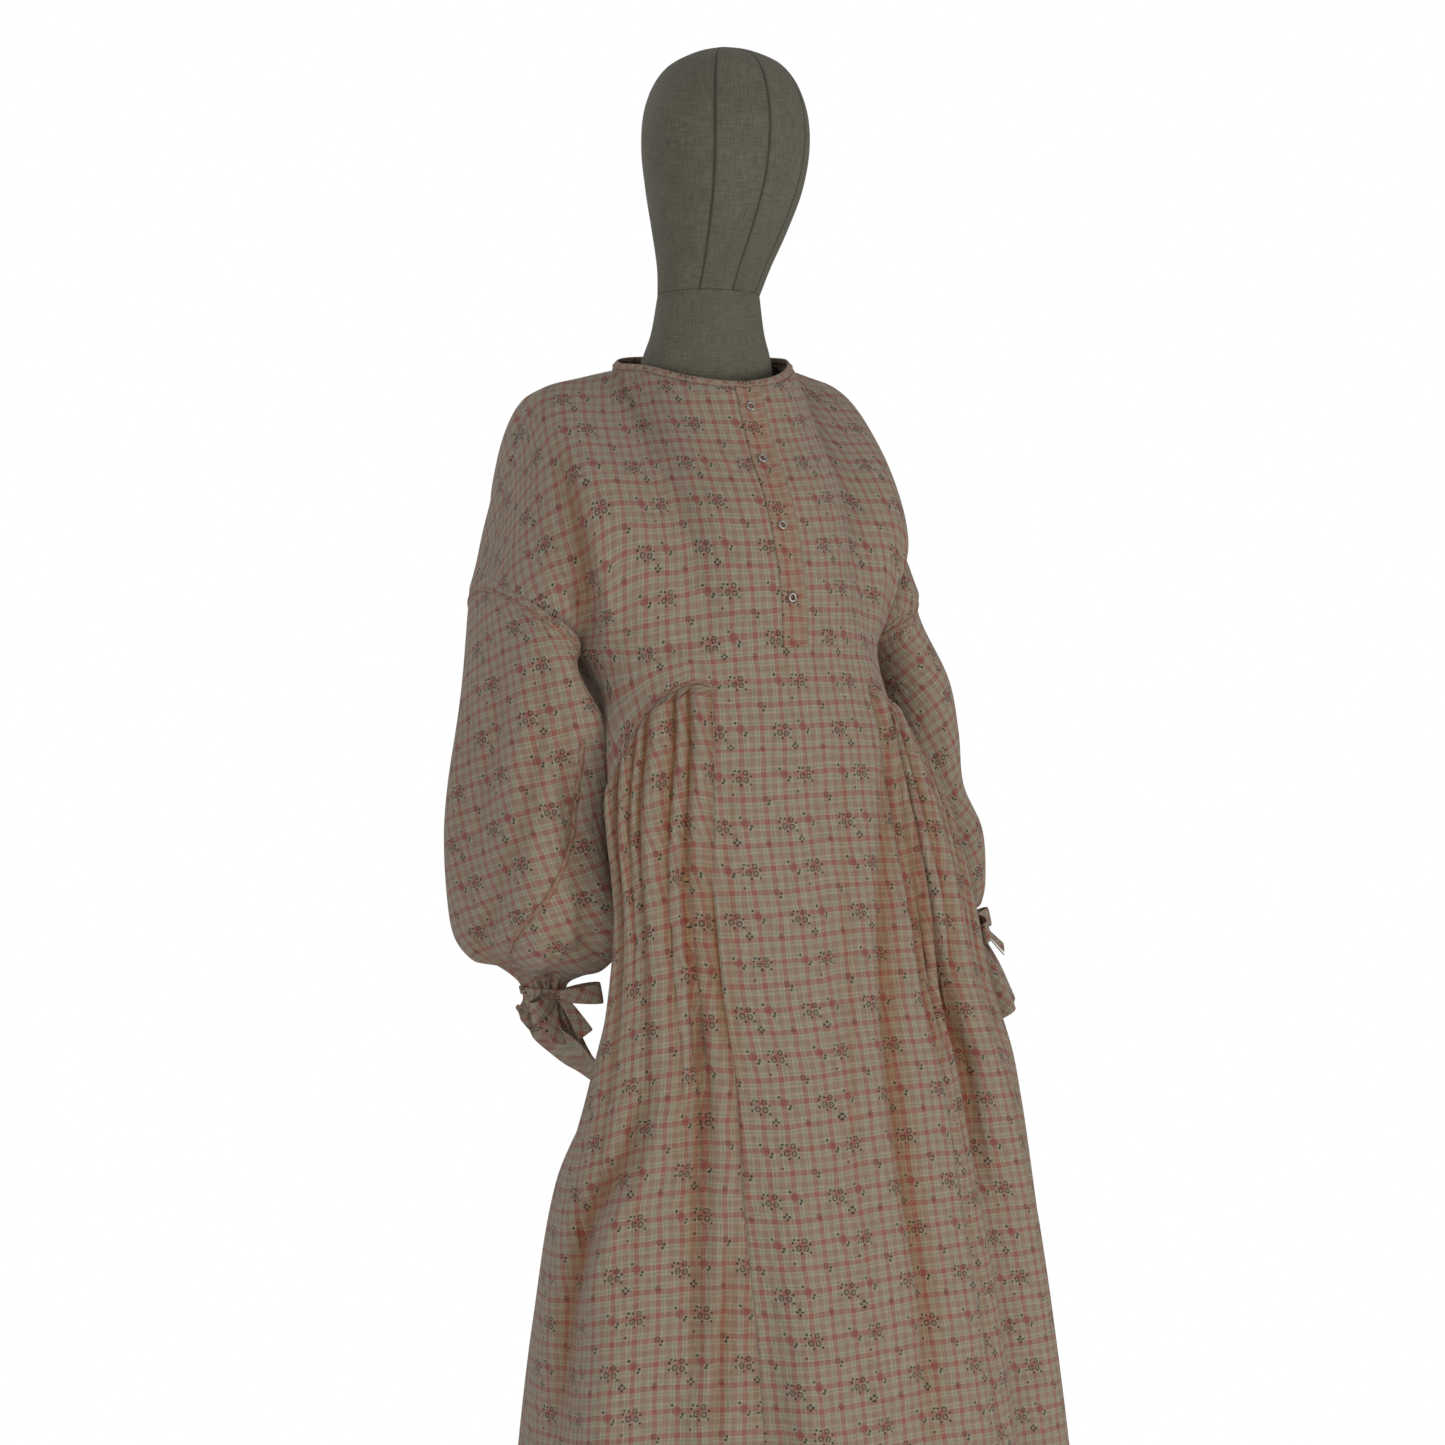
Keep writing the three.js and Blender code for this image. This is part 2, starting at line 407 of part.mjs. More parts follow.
// The body of the garment as one grid: rows from the neck and shoulders to the hem, columns round from
// the wearer's right side over the front and the back
function bodyGrid() {
  const right = {
    shoulder: SHOULDER_LINE,
    armFront: ARMHOLE_FRONT,
    armBack: ARMHOLE_BACK,
    neckFront: NECK_FRONT,
    neckBack: NECK_BACK,
  };
  const left = {};
  for (const name of Object.keys(right)) left[name] = mirrored(right[name]);
  const sides = [right, left].map((edges, number) => {
    const sign = number === 0 ? -1 : 1;
    const shoulder = curve(edges.shoulder);
    const ends = (neck) => [vec(neck[0]), shoulder(1)];
    return {
      shoulder,
      neckFront: curve(edges.neckFront),
      neckBack: curve(edges.neckBack),
      neckLength: new THREE.CatmullRomCurve3(edges.neckFront.map(vec)).getLength(),
      front: upperPatch(ends(edges.neckFront), edges.armFront, CENTRE_FRONT, sign, true),
      back: upperPatch(ends(edges.neckBack), edges.armBack, CENTRE_BACK, sign, false),
    };
  });
  const neckColumns = CENTRE_COLUMN - PANEL_START;
  const backCentre = FRONT_COLUMNS + BACK_COLUMNS / 2;
  const topFront = (side, m) => {
    if (m >= neckColumns) return side.shoulder((m - neckColumns) / COLUMNS.side);
    const first = PLACKET_HALF / side.neckLength;
    return side.neckFront(m <= 1 ? m * first : mix(first, 1, (m - 1) / (neckColumns - 1)));
  };
  const topBack = (side, m) => (m >= COLUMNS.neckBack ? side.shoulder((m - COLUMNS.neckBack) / COLUMNS.side)
    : side.neckBack(m / COLUMNS.neckBack));
  const upperPoint = (i, j) => {
    const ringPoint = bodyPoint(angleAt(j, BODY_SECTIONS[0].z), BODY_SECTIONS[0].z);
    ringPoint.z = armpitHeight(j);
    const down = i / ARMPIT_ROW;
    if (j <= FRONT_COLUMNS) {
      const side = sides[j <= CENTRE_COLUMN ? 0 : 1];
      const m = Math.abs(j - CENTRE_COLUMN);
      return side.front(m / CENTRE_COLUMN, down, topFront(side, m), ringPoint);
    }
    const side = sides[j <= backCentre ? 1 : 0];
    const m = Math.abs(j - backCentre);
    return side.back(m / (BACK_COLUMNS / 2), down, topBack(side, m), ringPoint);
  };
  const lowerPoint = (i, j) => {
    const low = seamHeight(j);
    const drop = i > SEAM_ROW ? (low - HEM_Z) * SKIRT_ROWS[i - SEAM_ROW] : 0;
    const z = i > SEAM_ROW ? low - drop : mix(armpitHeight(j), low, BODICE_ROWS[i - ARMPIT_ROW]);
    const angle = angleAt(j, z);
    const point = bodyPoint(angle, z);
    const middle = column(BODY_SECTIONS, 'z', 'x', z);
    const out = new THREE.Vector3(point.x - middle, point.y - PLEAT_AXIS_Y, 0).normalize();
    return point.addScaledVector(out, gatherHeight(j, drop) + (drop > 0 ? foldHeight(angle, z) : 0));
  };
  const rows = [];
  for (let i = 0; i <= HEM_ROW; i += 1) {
    const row = [];
    for (let j = 0; j < ALL_COLUMNS; j += 1) row.push(i <= ARMPIT_ROW ? upperPoint(i, j) : lowerPoint(i, j));
    rows.push(row);
  }
  return { rows, closed: true };
}

// A sleeve as a grid: the first ring is the armhole seam itself, then the rings of the table
function sleeveGrid(body, table, side) {
  const armhole = [];
  const edge = side < 0 ? 0 : FRONT_COLUMNS;
  for (let i = 0; i <= ARMPIT_ROW; i += 1) armhole.push(body.rows[i][edge]);
  const backTable = side < 0 ? body.armBackRight : body.armBackLeft;
  for (let i = ARMPIT_ROW - 1; i > 0; i -= 1) armhole.push(backTable[i]);
  const count = armhole.length;
  const rows = [armhole.map((p) => p.clone())];
  table.forEach((ring, number) => {
    const row = [];
    const below = number - (table.length - 1 - CUFF_ROWS);
    for (let k = 0; k < count; k += 1) {
      const turn = 2 * Math.PI * k / count;
      const share = below > 0 ? below / CUFF_ROWS
        : ease(number / SLEEVE_WAVES.rings) * ease(-below / CUFF_ROWS);
      const kind = below > 0 ? CUFF_WAVES : SLEEVE_WAVES;
      const wave = kind.height * share * Math.cos(kind.count * turn + kind.phase);
      const slack = side < 0 ? HANG.out * bell((number - HANG.ring) / HANG.rings)
        * bell((turn - HANG.turn) / HANG.spread) : 0;
      const out = (ring.half + wave + slack) * Math.cos(turn);
      const forward = (ring.depth + wave + slack) * Math.sin(turn);
      const tilt = rad(ring.tilt);
      const x = ring.x + side * out * Math.cos(tilt);
      row.push(new THREE.Vector3(x, ring.y - forward, ring.z + out * Math.sin(tilt)));
    }
    rows.push(row);
  });
  return { rows, closed: true };
}

// Points of the armhole's back half belong to the back of the body, whose grid starts past the front
function withArmholes(body) {
  body.armBackRight = [];
  body.armBackLeft = [];
  const right = curve(ARMHOLE_BACK);
  const left = curve(mirrored(ARMHOLE_BACK));
  for (let i = 0; i <= ARMPIT_ROW; i += 1) {
    body.armBackRight.push(right(i / ARMPIT_ROW));
    body.armBackLeft.push(left(i / ARMPIT_ROW));
  }
  return body;
}

// Grid of the front or the back alone, with its own edge columns at the armholes
function sheetGrid(body, isFront) {
  const rows = body.rows.map((row, i) => {
    if (isFront) return row.slice(0, FRONT_COLUMNS + 1);
    const back = [...row.slice(FRONT_COLUMNS), row[0]];
    if (i <= ARMPIT_ROW) {
      back[0] = body.armBackLeft[i];
      back[back.length - 1] = body.armBackRight[i];
    }
    return back;
  });
  return { rows, closed: false };
}

// Normals of several grids together, so that pieces that meet at a seam share the direction of their walls
function addNormals(grids) {
  const sums = new Map();
  const keyOf = (p) => `${Math.round(p.x * 50)},${Math.round(p.y * 50)},${Math.round(p.z * 50)}`;
  const eachCell = (grid, work) => {
    const columns = grid.rows[0].length;
    for (let i = 0; i < grid.rows.length - 1; i += 1) {
      for (let j = 0; j < (grid.closed ? columns : columns - 1); j += 1) {
        const k = (j + 1) % columns;
        work(grid.rows[i][j], grid.rows[i + 1][j], grid.rows[i + 1][k], grid.rows[i][k], grid);
      }
    }
  };
  for (const grid of grids) {
    eachCell(grid, (a, b, c, d) => {
      const normal = c.clone().sub(a).cross(d.clone().sub(b)).normalize();
      if (grid.flip) normal.negate();
      for (const p of [a, b, c, d]) {
        const key = keyOf(p);
        if (!sums.has(key)) sums.set(key, new THREE.Vector3());
        sums.get(key).add(normal);
      }
    });
  }
  for (const grid of grids) {
    grid.normals = grid.rows.map((row) => row.map((p) => sums.get(keyOf(p)).clone().normalize()));
  }
}

// A closed wall over the kept cells of a grid: skins at two heights along the normals, and a rim along
// every free edge, drawn back by half a seam's gap
function wall(grid, keep, bottom, top, inset = SEAM / 2) {
  const columns = grid.rows[0].length;
  const cellColumns = grid.closed ? columns : columns - 1;
  const kept = (i, j) => {
    if (i < 0 || i >= grid.rows.length - 1) return false;
    if (!grid.closed && (j < 0 || j >= cellColumns)) return false;
    return keep(i, (j + cellColumns) % cellColumns);
  };
  const index = new Map();
  const pulls = [];
  const base = [];
  const vertex = (i, j) => {
    const key = i * columns + (j % columns);
    if (!index.has(key)) {
      index.set(key, base.length);
      base.push([grid.rows[i][j % columns], grid.normals[i][j % columns]]);
      pulls.push({ row: new THREE.Vector3(), column: new THREE.Vector3() });
    }
    return index.get(key);
  };
  const faces = [];
  const rims = [];
  const rim = (from, to, inner, kind) => {
    rims.push([from, to]);
    const a = base[from][0];
    const b = base[to][0];
    const along = b.clone().sub(a).normalize();
    const inward = inner.clone().sub(a);
    inward.addScaledVector(along, -inward.dot(along)).normalize();
    pulls[from][kind].add(inward);
    pulls[to][kind].add(inward);
  };
  for (let i = 0; i < grid.rows.length - 1; i += 1) {
    for (let j = 0; j < cellColumns; j += 1) {
      if (!kept(i, j)) continue;
      const [a, b, c, d] = [vertex(i, j), vertex(i + 1, j), vertex(i + 1, j + 1), vertex(i, j + 1)];
      const diagonal = base[a][0].distanceTo(base[c][0]) <= base[b][0].distanceTo(base[d][0]);
      const quads = diagonal ? [[a, b, c], [a, c, d]] : [[a, b, d], [b, c, d]];
      for (const face of quads) faces.push(grid.flip ? [face[0], face[2], face[1]] : face);
      const middle = base[a][0].clone().add(base[b][0]).add(base[c][0]).add(base[d][0]).multiplyScalar(0.25);
      if (!kept(i, j - 1)) rim(a, b, middle, 'column');
      if (!kept(i + 1, j)) rim(b, c, middle, 'row');
      if (!kept(i, j + 1)) rim(c, d, middle, 'column');
      if (!kept(i - 1, j)) rim(d, a, middle, 'row');
    }
  }
  const count = base.length;
  const positions = [];
  for (const height of [top, bottom]) {
    base.forEach(([point, normal], k) => {
      const p = point.clone().addScaledVector(normal, height);
      for (const kind of ['row', 'column']) {
        if (pulls[k][kind].lengthSq() > 1e-9) p.addScaledVector(pulls[k][kind].clone().normalize(), inset);
      }
      positions.push(p.x, p.y, p.z);
    });
  }
  const triangles = [];
  for (const [a, b, c] of faces) triangles.push(a, b, c, a + count, c + count, b + count);
  for (const rimEdge of rims) {
    const [a, b] = grid.flip ? [rimEdge[1], rimEdge[0]] : rimEdge;
    const [p, q] = [base[a][0], base[b][0]];
    const first = p.z + 0.37 * p.x + 0.11 * p.y > q.z + 0.37 * q.x + 0.11 * q.y;
    if (first) triangles.push(b, a, a + count, b, a + count, b + count);
    else triangles.push(a, b + count, b, a, a + count, b + count);
  }
  const geometry = new THREE.BufferGeometry();
  geometry.setAttribute('position', new THREE.Float32BufferAttribute(positions, 3));
  geometry.setIndex(triangles);
  return geometry;
}

// A closed body through level sections, each a ring of two half ellipses, closed by a fan at each end
function loft(table, sides) {
  const positions = [];
  const triangles = [];
  table.forEach((ring) => {
    for (let k = 0; k < sides; k += 1) {
      const turn = 2 * Math.PI * k / sides;
      const depth = Math.cos(turn) > 0 ? ring.front : ring.back;
      positions.push(ring.x + ring.half * Math.sin(turn), ring.y - depth * Math.cos(turn), ring.z);
    }
  });
  for (let i = 0; i < table.length - 1; i += 1) {
    for (let k = 0; k < sides; k += 1) {
      const a = i * sides + k;
      const b = i * sides + (k + 1) % sides;
      triangles.push(a, b, b + sides, a, b + sides, a + sides);
    }
  }
  const first = table[0];
  const last = table[table.length - 1];
  const low = positions.length / 3;
  positions.push(first.x, first.y, first.z, last.x, last.y, last.z);
  const topStart = (table.length - 1) * sides;
  for (let k = 0; k < sides; k += 1) {
    const next = (k + 1) % sides;
    triangles.push(low, next, k, low + 1, topStart + k, topStart + next);
  }
  const geometry = new THREE.BufferGeometry();
  geometry.setAttribute('position', new THREE.Float32BufferAttribute(positions, 3));
  geometry.setIndex(triangles);
  return geometry;
}

// The form's shoulders: a ridge that runs just under the cloth's shoulder seam, with sides that fall away
// more steeply than the cloth
function yoke(front) {
  const seat = (j) => front.rows[0][j].clone().addScaledVector(front.normals[0][j], -CLOTH)
    .add(new THREE.Vector3(0, 0, -YOKE.clearance));
  const ridge = [];
  for (let step = YOKE.steps; step >= 1; step -= 1) ridge.push(seat(PANEL_START - step));
  for (const x of YOKE.underNeck) ridge.push(new THREE.Vector3(x, YOKE.low.y, YOKE.low.z));
  for (let step = 1; step <= YOKE.steps; step += 1) ridge.push(seat(PANEL_END + step));
  const outline = YOKE.outline;
  const positions = ridge.flatMap((p) => outline.flatMap(([y, z]) => [p.x, p.y + y, p.z + z]));
  const triangles = [];
  const sides = outline.length;
  for (let i = 0; i < ridge.length - 1; i += 1) {
    for (let k = 0; k < sides; k += 1) {
      const a = i * sides + k;
      const b = i * sides + (k + 1) % sides;
      triangles.push(a, b, b + sides, a, b + sides, a + sides);
    }
  }
  const last = (ridge.length - 1) * sides;
  for (let k = 1; k < sides - 1; k += 1) {
    triangles.push(0, k + 1, k, last, last + k, last + k + 1);
  }
  const geometry = new THREE.BufferGeometry();
  geometry.setAttribute('position', new THREE.Float32BufferAttribute(positions, 3));
  geometry.setIndex(triangles);
  return geometry;
}

function revolved(profile, segments) {
  const points = profile.map(([r, z]) => new THREE.Vector2(r, z));
  return new THREE.LatheGeometry(points, segments).rotateX(Math.PI / 2);
}

const group = new THREE.Group();

function add(name, geometry, colour, roughness = 0.9, metalness = 0) {
  const material = new THREE.MeshStandardMaterial({ color: colour, roughness, metalness });
  const mesh = new THREE.Mesh(geometry, material);
  mesh.name = name;
  group.add(mesh);
  return mesh;
}

// The neck binding's grid: from its free edge down to the neckline, right round
function bindingGrid(front, back) {
  const edge = front.rows[0].slice(PANEL_START, PANEL_END + 1);
  const side = COLUMNS.side;
  edge.push(...back.rows[0].slice(side + 1, side + 2 * COLUMNS.neckBack));
  const middle = new THREE.Vector3();
  edge.forEach((p) => middle.addScaledVector(p, 1 / edge.length));
  const rise = edge.map((p) => new THREE.Vector3(middle.x - p.x, middle.y - p.y, 0).normalize()
    .multiplyScalar(BINDING.inward).add(new THREE.Vector3(0, 0, BINDING.upward)));
  const rows = [1, 0.5, 0].map((share) => edge.map((p, k) => p.clone()
    .addScaledVector(rise[k], BINDING.width * share)));
  return { rows, closed: true };
}

// A strip of tie cloth along a path from the knot
function stripRows(knot, along, across, out, path) {
  return [-0.5, 0.5].map((edge) => path.map((p) => knot.clone().addScaledVector(along, p.along)
    .addScaledVector(out, p.out).addScaledVector(across, edge * BOW.wide * p.width + p.across)));
}

const wasm = await Module();
wasm.setup();

function solid(geometry) {
  const plain = geometry.clone();
  plain.deleteAttribute('normal');
  plain.deleteAttribute('uv');
  const merged = mergeVertices(plain, 1e-4);
  return new wasm.Manifold(new wasm.Mesh({
    numProp: 3,
    vertProperties: merged.attributes.position.array,
    triVerts: new Uint32Array(merged.index.array),
  }));
}

function joined(geometries) {
  let whole = solid(geometries[0]);
  for (const geometry of geometries.slice(1)) whole = whole.add(solid(geometry));
  const result = whole.getMesh();
  const geometry = new THREE.BufferGeometry();
  geometry.setAttribute('position', new THREE.Float32BufferAttribute(result.vertProperties, 3));
  geometry.setIndex(Array.from(result.triVerts));
  return geometry;
}

// The tie: a band round the wrist with a knot, two loops and two tails at one place of the ring
function tie(sleeve, place) {
  const low = sleeve.rows.length - 1 - CUFF_ROWS;
  const band = wall(sleeve, (i) => i === low - 1, TIE.gap, TIE.gap + TIE.thick, TIE.inset);
  const [p, q] = [sleeve.rows[low - 1][place], sleeve.rows[low][place]];
  const out = sleeve.normals[low][place].clone().add(sleeve.normals[low - 1][place]).normalize();
  const across = p.clone().sub(q).normalize();
  out.addScaledVector(across, -out.dot(across)).normalize();
  const along = across.clone().cross(out);
  const lift = TIE.gap + TIE.thick + BOW.knot * BOW.flat / 2;
  const knot = p.clone().lerp(q, BOW.low).addScaledVector(out, lift);
  const pieces = [band];
  for (const side of [-1, 1]) {
    const loop = [];
    for (let k = 0; k < BOW.steps; k += 1) {
      const turn = 2 * Math.PI * k / BOW.steps;
      const reach = 0.5 - 0.5 * Math.cos(turn);
      loop.push({
        along: side * BOW.loop * reach,
        out: BOW.half * Math.sin(turn) * Math.sqrt(reach) + BOW.rise * reach + BOW.foot,
        across: -BOW.sag * reach,
        width: mix(0.3, 1, Math.sqrt(reach)),
      });
    }
    const ring = { rows: stripRows(knot, along, across, out, loop), closed: true, flip: side < 0 };
    addNormals([ring]);
    pieces.push(wall(ring, () => true, -BOW.cloth / 2, BOW.cloth / 2, 0));
    const tail = [0, 0.3, 0.65, 1].map((share) => ({
      along: side * BOW.tailAside * Math.sqrt(share),
      out: 1 + BOW.tailOut * share,
      across: -BOW.tail * share,
      width: mix(0.35, 0.85, share),
    }));
    const strip = { rows: stripRows(knot, along, across, out, tail), closed: false };
    addNormals([strip]);
    pieces.push(wall(strip, () => true, -BOW.cloth / 2, BOW.cloth / 2, 0));
  }
  const ball = new THREE.SphereGeometry(BOW.knot, 8, 6);
  ball.applyMatrix4(new THREE.Matrix4().makeBasis(along, across, out.clone().multiplyScalar(BOW.flat)));
  pieces.push(ball.translate(knot.x, knot.y, knot.z));
  return joined(pieces);
}

// The garment's grids
const body = withArmholes(bodyGrid());
const front = sheetGrid(body, true);
const back = sheetGrid(body, false);
const sleeveRight = sleeveGrid(body, SLEEVE_RIGHT, -1);
const sleeveLeft = sleeveGrid(body, SLEEVE_LEFT, 1);
sleeveLeft.flip = true;
const binding = bindingGrid(front, back);
addNormals([front, back, sleeveRight, sleeveLeft, binding]);

const inSidePanel = (j) => j < PANEL_START || j >= PANEL_END;
const inPlacket = (j) => j >= PLACKET_START && j < PLACKET_END;
add('front_panel', wall(front, (i, j) => i < SEAM_ROW || !inSidePanel(j), -CLOTH, 0), COLOURS.cloth);
add('side_front_right', wall(front, (i, j) => i >= SEAM_ROW && j < PANEL_START, -CLOTH, 0), COLOURS.cloth);
add('side_front_left', wall(front, (i, j) => i >= SEAM_ROW && j >= PANEL_END, -CLOTH, 0), COLOURS.cloth);
add('back_bodice', wall(back, (i) => i < SEAM_ROW, -CLOTH, 0), COLOURS.cloth);
add('back_skirt', wall(back, (i) => i >= SEAM_ROW, -CLOTH, 0), COLOURS.cloth);
add('sleeve_right', wall(sleeveRight, () => true, -CLOTH, 0), COLOURS.cloth);
add('sleeve_left', wall(sleeveLeft, () => true, -CLOTH, 0), COLOURS.cloth);
add('tie_right', tie(sleeveRight, BOW_PLACES.right), COLOURS.tie);
add('tie_left', tie(sleeveLeft, BOW_PLACES.left), COLOURS.tie);
add('neck_binding', wall(binding, () => true, BINDING.inside, BINDING.outside), COLOURS.binding);
add('placket', wall(front, (i, j) => i < ARMPIT_ROW && inPlacket(j), SEAM, SEAM + CLOTH), COLOURS.binding);

// Ring snaps on the placket's face
SNAP_PLACES.forEach(([place, aside], number) => {
  const row = Math.floor(place);
  const face = (i, j) => front.rows[i][j].clone().addScaledVector(front.normals[i][j], SEAM + CLOTH);
  const between = (j) => face(row, j).lerp(face(row + 1, j), place - row);
  const across = between(PLACKET_END).sub(between(PLACKET_START));
  const out = face(row + 1, CENTRE_COLUMN).sub(face(row, CENTRE_COLUMN)).cross(across).normalize();
  const centre = between(PLACKET_START).lerp(between(PLACKET_END), aside).addScaledVector(out, SNAP.gap);
  const outer = [[SNAP.inner, 0], [SNAP.outer, 0], [SNAP.outer, SNAP.height], [SNAP.inner, SNAP.height]];
  const ring = revolved([...outer, [SNAP.inner, 0]], SNAP.sides);
  const mesh = add(`snap_${number + 1}`, ring, COLOURS.metal, 0.3, 1);
  mesh.quaternion.setFromUnitVectors(new THREE.Vector3(0, 0, 1), out);
  mesh.position.copy(centre);
});

// Dress form
const poleProfile = [
  [0, POLE.foot + SEAM], [POLE.radius, POLE.foot + SEAM], [POLE.radius, POLE.top], [0, POLE.top],
];
const baseProfile = [
  [0, 0], [BASE.radius, 0], [BASE.radius, BASE.height - BASE.edge], [BASE.radius - BASE.edge, BASE.height],
  [0, BASE.height],
];
add('form_head', loft(HEAD_SECTIONS, FORM_SIDES), COLOURS.linen);
add('form_neck', loft(NECK_SECTIONS, FORM_SIDES), COLOURS.linen);
add('form_torso', joined([loft(TORSO_SECTIONS, FORM_SIDES), yoke(front)]), COLOURS.linen);
add('form_pole', revolved(poleProfile, FORM_SIDES), COLOURS.pole, 0.4, 0.6);
add('form_base', revolved(baseProfile, BASE.sides), COLOURS.pole, 0.4, 0.6);

export default group;
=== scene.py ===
"""Nursing abaya of checked cotton gauze on a linen dress form, put together from the floor up."""
import math

import bmesh
import bpy
import numpy as np
from mathutils import Matrix, Vector


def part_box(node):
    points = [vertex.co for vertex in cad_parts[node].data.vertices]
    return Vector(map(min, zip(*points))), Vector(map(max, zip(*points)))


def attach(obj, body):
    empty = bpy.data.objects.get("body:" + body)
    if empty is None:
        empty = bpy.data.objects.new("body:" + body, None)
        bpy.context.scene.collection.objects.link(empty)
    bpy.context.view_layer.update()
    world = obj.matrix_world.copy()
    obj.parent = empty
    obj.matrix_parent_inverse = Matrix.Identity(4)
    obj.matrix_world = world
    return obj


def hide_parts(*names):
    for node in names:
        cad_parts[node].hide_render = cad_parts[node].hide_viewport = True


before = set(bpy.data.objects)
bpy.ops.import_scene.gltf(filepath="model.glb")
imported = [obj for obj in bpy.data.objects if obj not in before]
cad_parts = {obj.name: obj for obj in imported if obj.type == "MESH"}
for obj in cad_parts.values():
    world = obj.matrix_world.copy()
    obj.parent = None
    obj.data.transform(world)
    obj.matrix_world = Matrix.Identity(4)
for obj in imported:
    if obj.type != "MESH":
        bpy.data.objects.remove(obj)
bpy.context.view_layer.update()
scene = bpy.context.scene

# Camera, floor and light
# The view is level with the chest, a little from the wearer's right, with a long lens. A pale floor,
# wide soft lights from both sides and one from behind stand for the studio.
VIEW_TURN = math.radians(-28)
VIEW_DISTANCE = 2.81
LENS, SENSOR, FRAME_WIDTH = 70, 36, 1445
toward_camera = Vector((math.sin(VIEW_TURN), -math.cos(VIEW_TURN), 0))
across_view = Vector((math.cos(VIEW_TURN), math.sin(VIEW_TURN), 0))
aim = Vector((0, 0, 1.0825)) + across_view * 0.0195

camera = bpy.data.objects.new("camera", bpy.data.cameras.new("camera"))
camera.data.lens = LENS
camera.data.sensor_width = SENSOR
camera.data.clip_end = 30
camera.location = aim + toward_camera * VIEW_DISTANCE
camera.rotation_euler = (math.pi / 2, 0, VIEW_TURN)
scene.collection.objects.link(camera)
scene.camera = camera


def photo_place(points):
    """Where points in metres show in a photograph 1445 pixels wide: across, down."""
    offset = np.asarray(points, float) - np.array(camera.location)
    depth = -offset @ np.array(toward_camera)
    scale = LENS / SENSOR * FRAME_WIDTH / depth
    across = FRAME_WIDTH / 2 + offset @ np.array(across_view) * scale
    return across, FRAME_WIDTH / 2 - offset[..., 2] * scale


def feed(made, feeds):
    """Sets a shader node's inputs to plain values, or joins them to other nodes' outputs."""
    for socket, value in feeds.items():
        if isinstance(value, bpy.types.Node):
            value = value.outputs[0]
        if isinstance(value, bpy.types.NodeSocket):
            made.id_data.links.new(value, made.inputs[socket])
        else:
            made.inputs[socket].default_value = value
    return made


def node(tree, kind, feeds=None, **settings):
    """A new shader node with its settings and inputs."""
    made = tree.nodes.new("ShaderNode" + kind)
    for key, value in settings.items():
        setattr(made, key, value)
    return feed(made, feeds or {})


def maths(tree, operation, *values, kind="Math"):
    """The result of a sum on plain values or on other nodes' outputs."""
    return node(tree, kind, dict(enumerate(values)), operation=operation).outputs[0]


def blend(tree, share, low, high, way="MIX"):
    """Two colours mixed by a share."""
    return node(tree, "Mix", {0: share, 6: low, 7: high}, data_type="RGBA", blend_type=way).outputs[2]


def noise(tree, place, scale, detail, **more):
    """Even noise over a place."""
    return node(tree, "TexNoise", {"Vector": place, "Scale": scale, "Detail": detail, **more})


def new_material(name, finish):
    """A new material with the plain values of its finish."""
    material = bpy.data.materials.new(name)
    material.use_nodes = True
    return material, material.node_tree, feed(material.node_tree.nodes["Principled BSDF"], finish)


def placed(name, shape):
    """Turns a finished shape into an object of the scene."""
    data = bpy.data.meshes.new(name)
    shape.to_mesh(data)
    shape.free()
    piece = bpy.data.objects.new(name, data)
    scene.collection.objects.link(piece)
    return piece


floor_shape = bmesh.new()
bmesh.ops.create_circle(floor_shape, cap_ends=True, segments=96, radius=1.15)
floor = placed("floor", floor_shape)
floor_paint = new_material("pale_floor", {"Base Color": (0.82, 0.82, 0.81, 1), "Roughness": 0.85})[0]
floor.data.materials.append(floor_paint)

LIGHT_AIM = Vector((0, 0, 0.95))
LIGHTS = [
    # name, place, size, power, warmth
    ("key", (1.6, -3.0, 0.75), 2.0, 31, (1.0, 0.97, 0.93)),
    ("fill", (-2.8, -2.6, 0.9), 2.6, 30, (0.96, 0.98, 1.0)),
    ("behind", (0.6, 2.6, 2.2), 2.4, 16, (1.0, 0.98, 0.95)),
]
for name, place, size, power, warmth in LIGHTS:
    lamp = bpy.data.lights.new(name, "AREA")
    lamp.shape = "DISK"
    lamp.size = size
    lamp.energy = power
    lamp.color = warmth
    light = bpy.data.objects.new(name, lamp)
    light.location = place
    light.rotation_euler = (Vector(place) - LIGHT_AIM).to_track_quat("Z", "Y").to_euler()
    scene.collection.objects.link(light)

world = bpy.data.worlds.new("studio")
scene.world = world
world.use_nodes = True
sky = world.node_tree
sky.nodes.clear()
seen = node(sky, "Background", {"Color": (1, 1, 1, 1), "Strength": 1.0})
glow = node(sky, "Background", {"Color": (0.97, 0.98, 1, 1), "Strength": 0.34})
ray = node(sky, "LightPath")
both = node(sky, "MixShader", {0: ray.outputs["Is Camera Ray"], 1: glow, 2: seen})
node(sky, "OutputWorld", {"Surface": both})
scene.view_settings.view_transform = "Standard"

# Stand of the dress form
# The real stand is a round steel plate with one steel pole, lacquered dark. The pole plugs into a
# socket under the torso, and a turned collar hides the joint at the plate.
BASE_PROFILE = [(0, 0), (0.1685, 0), (0.17, 0.0015), (0.17, 0.0105), (0.1665, 0.014), (0, 0.014)]
POLE_PROFILE = [
    (0, 0.0143), (0.0155, 0.0143), (0.016, 0.015), (0.016, 0.030), (0.0145, 0.032), (0.0145, 0.842),
    (0.016, 0.844), (0.016, 0.8597), (0, 0.8597),
]


